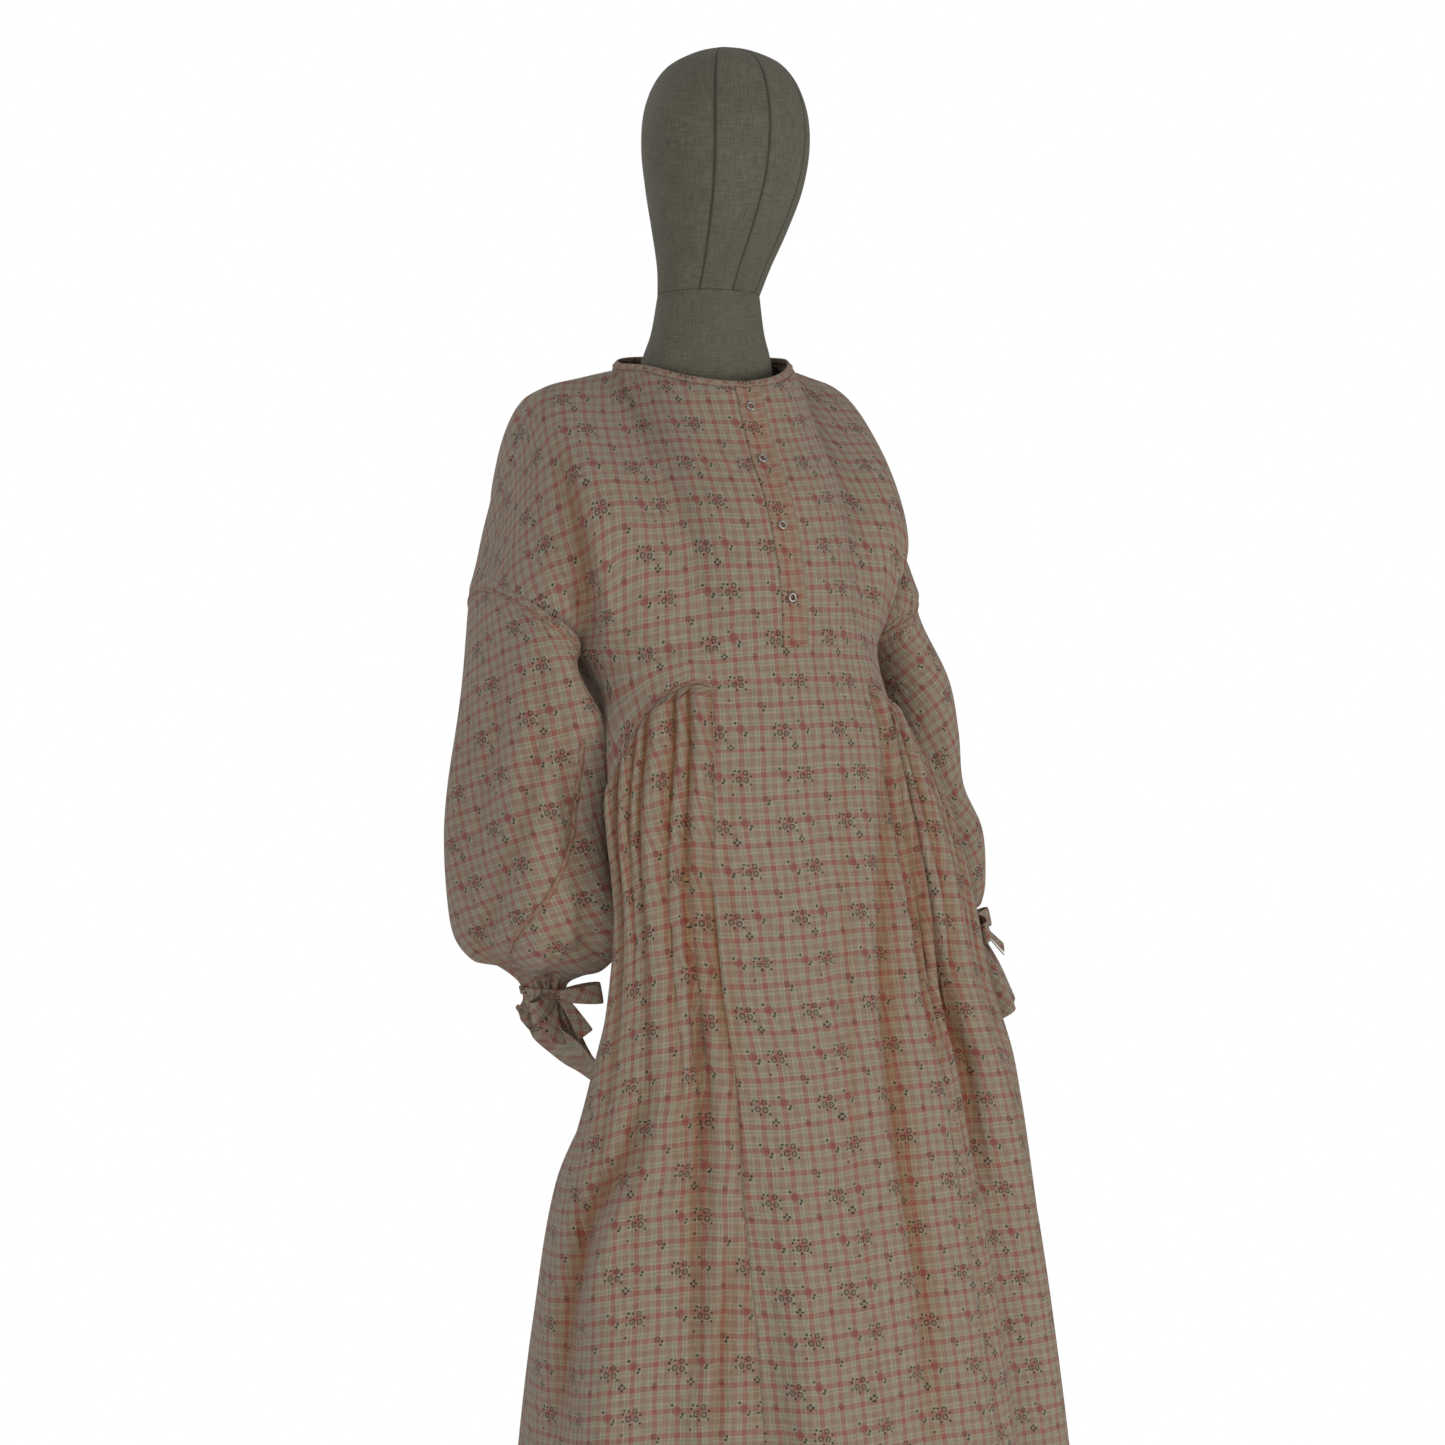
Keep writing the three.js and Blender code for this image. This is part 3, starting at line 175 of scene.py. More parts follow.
def spun(profile, steps, dropped=0.0, closed=False):
    """A shape turned on the upright axis from its profile of radius and height."""
    shape = bmesh.new()
    corners = [shape.verts.new((radius, 0, height - dropped)) for radius, height in profile]
    pairs = zip(corners, corners[1:] + corners[:1] if closed else corners[1:])
    edges = [shape.edges.new(pair) for pair in pairs]
    bmesh.ops.spin(shape, geom=corners + edges, axis=(0, 0, 1), cent=(0, 0, 0), angle=2 * math.pi,
                   steps=steps, use_merge=True)
    bmesh.ops.remove_doubles(shape, verts=shape.verts, dist=1e-5)
    bmesh.ops.recalc_face_normals(shape, faces=shape.faces)
    return shape


def stands_for(piece, node_name, slot, *materials):
    """Dresses a piece, lets it ride on the part and puts it in the place of its CAD node."""
    for material in materials:
        piece.data.materials.append(material)
    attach(piece, "root")
    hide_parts(node_name)


lacquer, tree, shader = new_material("dark_lacquer", {"Coat Weight": 0.25})
scuff = noise(tree, node(tree, "TexCoord").outputs["Object"], 60, 4)
feed(shader, {"Base Color": blend(tree, scuff, (0.022, 0.022, 0.023, 1), (0.045, 0.043, 0.041, 1)),
              "Roughness": node(tree, "MapRange", {0: scuff, 3: 0.32, 4: 0.5}),
              "Normal": node(tree, "Bump", {"Height": scuff, "Strength": 0.08, "Distance": 0.0004})})
for name, node_name, profile, steps in (("base_plate", "form_base", BASE_PROFILE, 96),
                                        ("stand_pole", "form_pole", POLE_PROFILE, 48)):
    piece = placed(name, spun(profile, steps))
    stands_for(piece, node_name, "stand", lacquer)
    for polygon in piece.data.polygons:
        polygon.use_smooth = abs(polygon.normal.z) < 0.5

# Torso of the dress form
# A hollow glass-fibre shell with linen glued over it. It only shows where the neck plugs into it, so
# the CAD solid stays and is given the linen.
LINEN_DARK, LINEN_LIGHT = (0.118, 0.108, 0.070, 1), (0.212, 0.196, 0.138, 1)
SEAM_SHADE = (0.03, 0.026, 0.018, 1)


def linen_cloth(name, on_solid):
    """Undyed linen in a plain weave with slubs, on a solid's own places or on a shell's flat ones."""
    material, tree, shader = new_material(name, {
        "Roughness": 0.92, "Sheen Weight": 0.12, "Sheen Roughness": 0.5})
    place = node(tree, "TexCoord").outputs["Object"] if on_solid else node(tree, "UVMap").outputs[0]
    threads = []
    for stretch in ((900, 60, 900), (60, 1000, 60)):
        slub = noise(tree, node(tree, "Mapping", {"Vector": place, "Scale": stretch}), 1.0, 3, Roughness=0.6)
        threads.append(node(tree, "MapRange", {0: slub, 1: 0.3, 2: 0.72}))
    weave = maths(tree, "MULTIPLY", maths(tree, "ADD", *threads), 0.5)
    mixed = maths(tree, "MULTIPLY_ADD", noise(tree, place, 18, 3), 0.35, weave)
    level = node(tree, "MapRange", {0: mixed, 1: 0.38, 2: 0.92})
    seam = node(tree, "Attribute", attribute_name="seam")
    colour = blend(tree, level, LINEN_DARK, LINEN_LIGHT)
    feed(shader, {"Base Color": blend(tree, seam.outputs["Fac"], colour, SEAM_SHADE),
                  "Normal": node(tree, "Bump", {"Height": weave, "Strength": 0.8, "Distance": 0.0009})})
    return material


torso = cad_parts["form_torso"]
torso.data.materials.clear()
torso.data.materials.append(linen_cloth("linen_of_torso", True))

# Neck and head of the dress form
# Both are turned-looking shells covered with linen panels. The head's panels meet in fine upright
# seams, and it sits on the neck with a thin turned-in edge.
HEAD_ROWS = [
    # height, middle x, middle y, half width, depth to the front, depth to the back
    (1508, 3, -6, 51, 51, 51), (1535, 4, -16, 56, 58, 60), (1570, 5, -26, 66, 72, 72),
    (1610, 6, -33, 76, 86, 84), (1655, 6, -36, 81, 92, 92), (1695, 6, -35, 76, 86, 88),
    (1727, 6, -34, 59, 66, 69), (1742, 6, -33, 34, 38, 40), (1750, 6, -33, 8, 8, 8),
]
NECK_ROWS = [
    (1398, 3, 2, 68, 62, 68), (1430, 3, 0, 68, 64, 66), (1448, 3, -2, 64, 61, 62),
    (1470, 3, -4, 57, 56, 56), (1507.7, 3, -6, 51, 51, 51),
]
HEAD_SEAMS = (-142, -38, 0, 38, 142, 180)
SEAM_HALF = 1.1               # degrees from a seam's middle to its edge
GROOVE = 0.7                  # millimetres that a seam is sunk


def through(keys, values, at):
    """Value at a key on a smooth curve through the rows of a table."""
    keys, values = np.asarray(keys, float), np.asarray(values, float)
    if keys[0] > keys[-1]:
        keys, values = keys[::-1], values[::-1]
    at = np.clip(at, keys[0], keys[-1])
    last = np.clip(np.searchsorted(keys, at), 1, len(keys) - 1)
    chord = np.diff(values) / np.diff(keys)
    slope = np.concatenate([chord[:1], (values[2:] - values[:-2]) / (keys[2:] - keys[:-2]), chord[-1:]])
    start = np.where(last == 1, chord[last - 1], slope[last - 1])
    end = np.where(last == len(keys) - 1, chord[last - 1], slope[last])
    span = keys[last] - keys[last - 1]
    s = (at - keys[last - 1]) / span
    rise = (values[last] - values[last - 1]) * s * s * (3 - 2 * s)
    return values[last - 1] + rise + span * (start * s * (1 - s) ** 2 - end * s * s * (1 - s))


def read_table(table, at):
    """All values of a table at a key, which is its first column."""
    table = np.asarray(table, float)
    return [through(table[:, 0], column, at) for column in table.T[1:]]


def unit(ways):
    """Directions at length one."""
    return ways / np.maximum(np.linalg.norm(ways, axis=-1, keepdims=True), 1e-9)


def run_along(line):
    """How far each point lies along a line."""
    return np.concatenate([[0], np.cumsum(np.linalg.norm(np.diff(line, axis=0), axis=1))])


def grid_piece(name, points, flat, mark=0.0, mark_name="fold", keep=None, weld=False, flip=False):
    """A sheet from a grid of places in millimetres, with its flat places as UVs in metres.

    flat is a grid too, or its places across and down. mark is a value for each point, keep tells which
    cells stay, weld joins the edges, and flip turns the faces over."""
    rows, columns = points.shape[:2]
    if isinstance(flat, tuple):
        flat = np.stack([np.broadcast_to(part, (rows, columns)) for part in flat], -1)
    shape = bmesh.new()
    bmesh.ops.create_grid(shape, x_segments=columns - 1, y_segments=rows - 1, size=1)
    shape.verts.ensure_lookup_table()
    layer = shape.verts.layers.float.new(mark_name)
    listed = (points.reshape(-1, 3) / 1000).tolist()
    values = np.broadcast_to(mark, (rows, columns)).reshape(-1).tolist()
    for corner, spot, value in zip(shape.verts, listed, values):
        corner.co = spot
        corner[layer] = value
    uv = shape.loops.layers.uv.new("UVMap")
    flat_listed = flat.reshape(-1, 2).tolist()
    dropped = []
    for face in shape.faces:
        for loop in face.loops:
            loop[uv].uv = flat_listed[loop.vert.index]
        if keep is not None:
            first = min(corner.index for corner in face.verts)
            if not keep[first // columns, first % columns]:
                dropped.append(face)
    bmesh.ops.delete(shape, geom=dropped, context="FACES")
    if weld:
        bmesh.ops.remove_doubles(shape, verts=shape.verts, dist=2e-6)
    if flip:
        bmesh.ops.reverse_faces(shape, faces=shape.faces)
    for face in shape.faces:
        face.smooth = True
    return placed(name, shape)


def linen_shell(name, rows, heights, node_name, seams):
    """A lofted and closed shell of the form with its seams as fine grooves."""
    extra = [seam + step for seam in HEAD_SEAMS for step in (-2, -1, -0.5, 0, 0.5, 1, 2)]
    turns = np.unique(np.round(np.concatenate([np.arange(-180, 181, 5.0), np.clip(extra, -180, 180)]), 3))
    level = np.asarray(heights, float)[:, None]
    angle = np.radians(turns)[None, :]
    x, y, half, ahead, behind = read_table(rows, level)
    away = np.min([np.abs((turns - s + 180) % 360 - 180) for s in seams], axis=0) if seams else np.inf
    sunk = np.exp(-(away / SEAM_HALF) ** 2) + np.zeros((len(level), len(turns)))
    depth = np.where(np.cos(angle) > 0, ahead, behind) - GROOVE * sunk
    across = x + (half - GROOVE * sunk) * np.sin(angle)
    points = np.stack([across, y - depth * np.cos(angle), level + 0 * angle], -1)
    for row in (0, -1):
        middle = points[row].mean(axis=0)
        cap = np.array([middle + (points[row] - middle) * share for share in (0.999, 0.97, 0.5, 0.001)])
        points = np.concatenate([cap[::-1], points] if row == 0 else [points, cap])
    sunk = np.pad(sunk, ((4, 4), (0, 0)))
    flat = np.radians(turns) * 0.075, points[..., 2] / 1000
    piece = grid_piece(name, points, flat, sunk * 0.8, "seam", weld=True)
    stands_for(piece, node_name, "linen", linen_on_shells)


linen_on_shells = linen_cloth("linen_on_shells", False)
neck_heights = np.concatenate([np.linspace(1398, 1500, 18), [1504, 1506.6, 1507.7]])
linen_shell("form_neck_linen", NECK_ROWS, neck_heights, "form_neck", ())
head_heights = np.concatenate([
    [1508, 1508.8, 1510.5, 1513], np.linspace(1517, 1730, 44), np.linspace(1733, 1750, 9)])
linen_shell("form_head_linen", HEAD_ROWS, head_heights, "form_head", HEAD_SEAMS)

# Body of the abaya
# The body is one loose tube of gauze, sewn from five cuts, that hangs from the form's neck and shoulders.
# The tables give its worn shape in millimetres: the edges above the armpits, the level sections below.
SEAM_Z, HEM_Z, LEFT_RISE = 1117, 60, 16
SECTION_TOP = 1150            # height of the highest level section
ARMPIT = (-158, -25, 1146)
SHOULDER_LINE = np.array([
    (-82, 30, 1434), (-120, 31, 1424), (-160, 32, 1412), (-180, 33, 1396), (-190, 33, 1352),
    (-200, 32, 1310), (-211, 29, 1268), (-224, 25, 1226)], float)
LEFT_SHIFT = np.array([(1146, 12), (1180, 4), (1226, -9), (1310, -10), (1396, 2), (1434, 14)], float)
NECK_FRONT = np.array([
    (2, -91, 1408), (-30, -84, 1409), (-58, -62, 1415), (-76, -25, 1426), (-82, 30, 1434)], float)
NECK_BACK = np.array([
    (5, 92, 1452), (-26, 88, 1450), (-54, 74, 1446), (-74, 54, 1440), (-82, 30, 1434)], float)
ARMHOLE_FRONT = np.array([
    (-224, 25, 1226), (-229, -28, 1213), (-220, -57, 1199), (-205, -70, 1186), (-188, -69, 1176),
    (-172, -57, 1164), ARMPIT], float)
ARMHOLE_BACK = np.array([
    (-224, 25, 1226), (-222, 68, 1220), (-212, 93, 1208), (-196, 102, 1194), (-179, 92, 1178),
    (-165, 52, 1160), ARMPIT], float)
CENTRE_FRONT = np.array([
    (2, -91, 1408), (4, -112, 1350), (9, -142, 1284), (15, -154, 1214), (18, -157, 1150)], float)
CENTRE_BACK = np.array([(5, 92, 1452), (5, 112, 1380), (6, 118, 1300), (7, 112, 1220), (8, 102, 1154)], float)
BODY = np.array([
    # height, middle x, middle y, half width, front, back, press right, press left, pressed at
    (1150, 6, -25, 164, 132, 127, 0, 0, 98), (1110, 10, -42, 170, 117, 144, 34, 26, 104),
    (1070, 15, -66, 178, 99, 164, 38, 30, 110), (1005, 25, -92, 194, 78, 186, 44, 36, 114),
    (905, 45, -95, 210, 83, 195, 57, 52, 114), (820, 53, -88, 222, 100, 200, 60, 12, 118),
    (740, 65, -80, 242, 116, 204, 68, 0, 126), (640, 72, -70, 260, 138, 208, 17, 0, 124),
    (500, 82, -56, 275, 170, 218, 0, 0, 120), (300, 90, -42, 292, 208, 236, 0, 0, 120),
    (60, 90, -30, 308, 244, 256, 0, 0, 120)], float)
SEAMS = np.array([
    # height, side right, panel right, opening right, opening left, panel left, side left
    (1150, -90, -26.5, -0.6, 9.2, 38, 90), (1117, -96, -26.5, -0.6, 9.2, 38, 96),
    (1005, -110, -30, -5, 2, 31, 108), (905, -114, -34, -6, -1, 27, 112),
    (700, -112, -30.5, -5, -1, 24, 112), (60, -108, -28, -4, -1, 24, 108)], float)
SIDE, PANEL_END, FRONT_END, RING_END = 16, 28, 44, 82     # columns where the seams and the back lie
SEAM_COLUMNS = (0, SIDE, 21, 23, PANEL_END, FRONT_END, RING_END)
BACK_COLUMNS = RING_END - FRONT_END
SEAM_DROP = np.array([
    (0, 0), (0.1, -3), (0.2, 5), (0.3, 18), (0.4, 42), (0.5, 72), (0.6, 98), (0.75, 118), (1, 132)], float)
BACK_SEAM_RISE = 22           # how much higher the back seam lies at its middle
FRONT_ROUND, BACK_ROUND, RAISED = 20, 30, 9     # how far the chest, the back and the shoulders round out
PRESS_WIDTH = 30              # half width of a pressed side, in degrees
FOLD_FADE = 0.12              # share of the way down over which a bodice fold fades in
BODICE_FOLDS = [
    # across, down, to across, to down, width, height
    (0.7, 0.22, 0.86, 0.9, 0.07, -13), (0.6, 0.3, 0.72, 0.95, 0.06, 5), (0.3, 0.55, 0.36, 1, 0.06, -4)]
SKIRT_FOLDS = [
    # from angle, to angle, start height, full height, width, height of the fold
    (-27, -33, 1010, 600, 8, -9), (-17, -20, 760, 420, 6, 7), (-30, -22, 640, 360, 7, -14),
    (36, 40, 1000, 640, 6, -18), (47, 52, 960, 560, 8, 10), (6, 6, 700, 300, 10, -7),
    (18, 18, 620, 240, 8, 9), (-62, -66, 800, 380, 9, 16), (-46, -50, 820, 420, 7, -12),
    (-88, -92, 560, 260, 12, -15), (74, 74, 820, 400, 9, -14), (92, 92, 640, 300, 10, 14),
    (128, 126, 840, 300, 11, -18), (150, 150, 880, 260, 11, 16), (172, 172, 860, 280, 10, -18),
    (-166, -166, 880, 300, 10, 16), (-144, -144, 820, 260, 11, -17), (-120, -122, 600, 240, 10, 12)]


def ease(t):
    """Soft start and soft end between 0 and 1."""
    t = np.clip(t, 0, 1)
    return t * t * (3 - 2 * t)


def bell(distance):
    """One at the middle, fading to both sides."""
    return np.exp(-distance * distance)


def mix(a, b, t):
    """Between a and b by a share."""
    return a + (b - a) * t


def curve(points):
    """A smooth curve through points, read at even shares of its length."""
    points = np.asarray(points, float)
    ends = np.concatenate([[2 * points[0] - points[1]], points, [2 * points[-1] - points[-2]]])
    knots = np.sqrt(np.linalg.norm(np.diff(ends, axis=0), axis=1))
    places = []
    for k in range(len(points) - 1):
        p0, p1, p2, p3 = ends[k:k + 4]
        d0, d1, d2 = knots[k:k + 3]
        t1 = ((p1 - p0) / d0 - (p2 - p0) / (d0 + d1) + (p2 - p1) / d1) * d1
        t2 = ((p2 - p1) / d1 - (p3 - p1) / (d1 + d2) + (p3 - p2) / d2) * d1
        s = np.linspace(0, 1, 41)[:, None]
        rise = p2 - p1
        places.append(p1 + t1 * s + (3 * rise - 2 * t1 - t2) * s ** 2 + (t1 + t2 - 2 * rise) * s ** 3)
    line = np.concatenate([places[0]] + [part[1:] for part in places[1:]])
    run = run_along(line)

    def at(share):
        want = np.clip(share, 0, 1) * run[-1]
        return np.stack([np.interp(want, run, line[:, k]) for k in range(3)], axis=-1)
    at.length = run[-1]
    return at


def mirrored(points):
    """The wearer's left side mirrors the right one, a little over and higher."""
    aside = np.clip(points[:, 0] / SHOULDER_LINE[0, 0], 0, 1)
    shift, = read_table(LEFT_SHIFT, points[:, 2])
    x = mix(2 * points[0, 0] - points[:, 0], shift - points[:, 0], aside)
    return np.stack([x, points[:, 1], points[:, 2] + LEFT_RISE * aside], axis=-1)


def seam_angle(columns, heights):
    """Angle from the front at a column and a height, between the seams."""
    at_seams = read_table(SEAMS, heights)
    at_seams.append(at_seams[0] + 360)
    angle = np.zeros(np.broadcast(columns, heights).shape)
    for k, (first, last) in enumerate(zip(SEAM_COLUMNS, SEAM_COLUMNS[1:])):
        share = (columns - first) / (last - first)
        inside = (columns >= first) & (columns <= last)
        angle = np.where(inside, mix(at_seams[k], at_seams[k + 1], share), angle)
    return angle


def body_point(angle, heights):
    """Places on the level sections."""
    x, y, half, ahead, behind, right, left, aside = read_table(BODY, heights)
    wrapped = np.where(angle > 180, angle - 360, angle)
    press = right * bell((wrapped + aside) / PRESS_WIDTH) + left * bell((wrapped - aside) / PRESS_WIDTH)
    size = 1 - press / half
    turn = np.radians(angle)
    depth = np.where(np.cos(turn) > 0, ahead, behind)
    x, y = x + half * np.sin(turn) * size, y - depth * np.cos(turn) * size
    return np.stack(np.broadcast_arrays(x, y, heights), -1)


def armpit_ring(columns):
    """The level ring at the armpits, a little higher toward the wearer's left."""
    level = np.full_like(columns, float(SECTION_TOP))
    ring = body_point(seam_angle(columns, level), level)
    rise = np.clip((ring[..., 0] - ARMPIT[0]) / (2 * BODY[0, 3]), 0, 1)
    ring[..., 2] = mix(ARMPIT[2], ARMPIT[2] + LEFT_RISE, rise)
    return ring


def seam_height(columns):
    """Height of the seam that the skirt is gathered into."""
    right, left = (SEAM_Z - read_table(SEAM_DROP, share)[0]
                   for share in ((SIDE - columns) / SIDE, (columns - PANEL_END) / SIDE))
    round_back = np.clip((columns - FRONT_END) / BACK_COLUMNS, 0, 1)
    back = SEAM_Z - SEAM_DROP[-1, 1] + BACK_SEAM_RISE * np.sin(np.pi * round_back)
    zones = columns < SIDE, columns <= PANEL_END, columns <= FRONT_END
    return np.select(zones, [right, SEAM_Z, left], back)


def upper_rows(columns, shares, is_front):
    """Places above the armpits, by column and by share of the way down from the neck and shoulders."""
    ring = armpit_ring(columns)
    middle, neck_columns, span = (22, 6, 22) if is_front else (63, 3, 19)
    result = np.zeros((len(shares), len(columns), 3))
    for on_right in (True, False):
        fit = (lambda line: line) if on_right else mirrored
        shoulder = curve(fit(SHOULDER_LINE))
        neck_line = fit(NECK_FRONT if is_front else NECK_BACK)
        neck_curve = curve(neck_line)
        arm_line = fit(ARMHOLE_FRONT if is_front else ARMHOLE_BACK)
        arm = curve(arm_line)(shares)[:, None]
        centre_line = CENTRE_FRONT if is_front else CENTRE_BACK
        centre = curve(centre_line)(shares)[:, None]
        chosen = columns <= middle if on_right == is_front else columns > middle
        m = np.abs(columns[chosen] - middle)
        first = 14 / neck_curve.length if is_front else 1 / 3
        share = np.where(m <= 1, m * first, mix(first, 1, (m - 1) / (neck_columns - 1)))
        top = np.where((m >= neck_columns)[:, None], shoulder((m - neck_columns) / SIDE), neck_curve(share))
        across, down = (m / span)[None, :, None], shares[:, None, None]
        corners = neck_line[0], shoulder(np.array(1.0)), centre_line[-1], arm_line[-1]
        part = (top[None] * (1 - down) + ring[chosen][None] * down + centre * (1 - across) + arm * across
                - corners[0] * (1 - across) * (1 - down) - corners[1] * across * (1 - down)
                - corners[2] * (1 - across) * down - corners[3] * across * down)
        outward = -1 if is_front else 1
        rounded = (np.sin(np.pi * across) ** 2 * np.sin(np.pi * np.sqrt(down)))[..., 0]
        part[..., 1] += outward * (FRONT_ROUND if is_front else BACK_ROUND) * rounded
        part[..., 2] += RAISED * rounded
        for from_across, from_down, to_across, to_down, width, height in BODICE_FOLDS:
            along = np.clip((down - from_down) / (to_down - from_down), 0, 1)
            aside = (across - mix(from_across, to_across, along)) / width
            faded = np.clip((down - from_down + FOLD_FADE) / (to_down - from_down + 1.7 * FOLD_FADE), 0, 1)
            push = (height * bell(aside) * np.sin(np.pi * faded))[..., 0]
            part[..., 1] += outward * push * 0.9
            part[..., 0] += (-1 if on_right else 1) * push * 0.35
        result[:, chosen] = part
    return result


def skirt_fold(angle, heights):
    """How far the hanging folds stand out."""
    total = np.zeros(np.broadcast(angle, heights).shape)
    for start, end, top, full, width, height in SKIRT_FOLDS:
        along = np.clip((top - heights) / (top - HEM_Z), 0, 1)
        aside = (angle - mix(start, end, along) + 180) % 360 - 180
        total = total + height * ease((top - heights) / (top - full)) * bell(aside / width)
    return total


PLEATS = {
    # of each pleat in its order along the seam: share of the width, how far it stands out, how far it runs
    "right": [
        (1.5, 8.0, 430), (0.8, 4.8, 120), (1.9, 8.8, 330), (0.7, 4.2, 90), (1.2, 6.4, 190),
        (2.0, 8.2, 280), (0.8, 4.4, 100), (1.4, 6.8, 210), (1.0, 5.2, 130), (1.6, 7.2, 240)],
    "left": [
        (1.4, 7.6, 460), (0.8, 4.6, 110), (1.8, 8.4, 340), (0.9, 5.0, 130), (1.7, 7.8, 260),
        (0.8, 4.4, 90), (1.9, 8.2, 300), (1.0, 5.2, 120), (1.5, 7.0, 230), (1.0, 5.0, 150)],
    "back": [
        (1.0, 6.4, 380), (0.7, 4.6, 140), (0.9, 6.0, 260), (0.6, 4.4, 100), (1.1, 6.8, 320),
        (0.8, 5.0, 150), (0.7, 5.2, 200), (1.0, 6.4, 280), (0.6, 4.2, 110), (0.9, 5.8, 230)] * 3,
}
PLEAT_AXIS_Y = -40            # the pleats and folds stand out from an upright axis at this depth
PLEAT_SCALE, PLEAT_LEVEL = 1.35, 0.42      # how much a pleat's figure is drawn out, and which share stays level
SWELL, SWELL_RUN = 4.5, 220   # how far gathered cloth puffs out under its seam, and how far down


def pleat_height(share, drop, zone):
    """How far the gathered cloth stands out at a share of the way along its seam."""
    widths, stands, runs = np.array(PLEATS[zone]).T
    edges = np.concatenate([[0], np.cumsum(widths)]) / widths.sum()
    lean = share + 0.012 * np.sin(9 * share + drop / 60) * ease(drop / 120)
    index = np.clip(np.searchsorted(edges, lean, side="right") - 1, 0, len(widths) - 1)
    inside = np.clip((lean - edges[index]) / (edges[index + 1] - edges[index]), 0, 1)
    wave = np.sin(np.pi * inside) ** 0.7
    shown = ease((drop + 1) / 9) * (1 - ease((drop - 18) / (60 + 1.8 * runs[index])))
    ends = ease(share * 14) * ease((1 - share) * 14) * ease(drop / 14)
    swell = SWELL * (1 - ease(drop / SWELL_RUN)) * ends
    return shown * stands[index] * PLEAT_SCALE * (wave - PLEAT_LEVEL) + swell, shown * (1 - wave)


def body_rows(columns, upper_shares, bodice_shares, drops, is_front):
    """The whole front or back as one grid, with how deep each point lies between the gathers."""
    upper = upper_rows(columns, upper_shares, is_front)
    low = seam_height(columns)
    heights = mix(armpit_ring(columns)[None, :, 2], low[None], bodice_shares[1:, None])
    wide = np.broadcast_to(columns, heights.shape)
    bodice = body_point(seam_angle(wide, heights), heights)
    heights = low[None] - (low[None] - HEM_Z) * drops[1:, None]
    wide = np.broadcast_to(columns, heights.shape)
    angle = seam_angle(wide, heights)
    skirt = body_point(angle, heights)
    drop = low[None] - heights
    axis = read_table(BODY[:, :2], heights)[0], np.full_like(heights, PLEAT_AXIS_Y), heights
    out = unit(skirt - np.stack(axis, -1))
    stand, trough = np.zeros_like(heights), np.zeros_like(heights)
    zones = {"right": (SIDE - wide) / SIDE, "left": (wide - PANEL_END) / SIDE} if is_front else {
        "back": (wide - FRONT_END) / BACK_COLUMNS}
    for zone, share in zones.items():
        height, depth = pleat_height(share, drop, zone)
        inside = (share > 0) & (share < 1)
        stand = np.where(inside, height, stand)
        trough = np.where(inside, depth, trough)
    skirt = skirt + out * (stand + skirt_fold(angle, heights))[..., None]
    points = np.concatenate([upper, bodice, skirt])
    # the depth between the gathers is also how much shade is painted there
    folds = np.concatenate([np.zeros((len(points) - len(trough), len(columns))), trough])
    return points, folds


def outward_normals(points):
    """Direction of each point's outer side; columns run from the wearer's right over the front."""
    return unit(np.cross(np.gradient(points, axis=0), np.gradient(points, axis=1)))


def creased(points, normals, folds, creases):
    """Presses creases into a sheet. Each is a line of places across and down the photograph,
    its height, its width to either side, and how much warm shade gathers in it."""
    across, down = photo_place(points / 1000)
    facing = ease((normals @ np.array(toward_camera) + 0.05) / 0.35)
    push = np.zeros(points.shape[:2])
    for line, height, before, after, shade in creases:
        line = np.asarray(line, float)
        best, side, along = np.full_like(push, 1e9), np.zeros_like(push), np.zeros_like(push)
        runs = run_along(line)
        for k, step in enumerate(np.diff(line, axis=0)):
            dx, dy = across - line[k, 0], down - line[k, 1]
            reach = np.clip((dx * step[0] + dy * step[1]) / (step @ step), 0, 1)
            dx, dy = dx - reach * step[0], dy - reach * step[1]
            distance = np.hypot(dx, dy)
            nearer = distance < best
            best = np.where(nearer, distance, best)
            side = np.where(nearer, step[0] * dy - step[1] * dx, side)
            along = np.where(nearer, mix(runs[k], runs[k + 1], reach) / runs[-1], along)
        width = np.where(side > 0, before, after)
        swell = np.sin(np.pi * np.clip(along * 0.9 + 0.05, 0, 1)) ** 0.6
        push += height * bell(best / width) * swell * facing
        fade = np.sin(np.pi * np.clip(along, 0.02, 0.98)) ** 0.5
        # the crease's warm shade is painted into the fold mark
        folds = np.maximum(folds, shade * bell(best / (0.8 * width)) * fade * facing)
    return points + normals * push[..., None], folds


LAYING_ROUNDS, SMOOTHING_ROUNDS = 500, 40


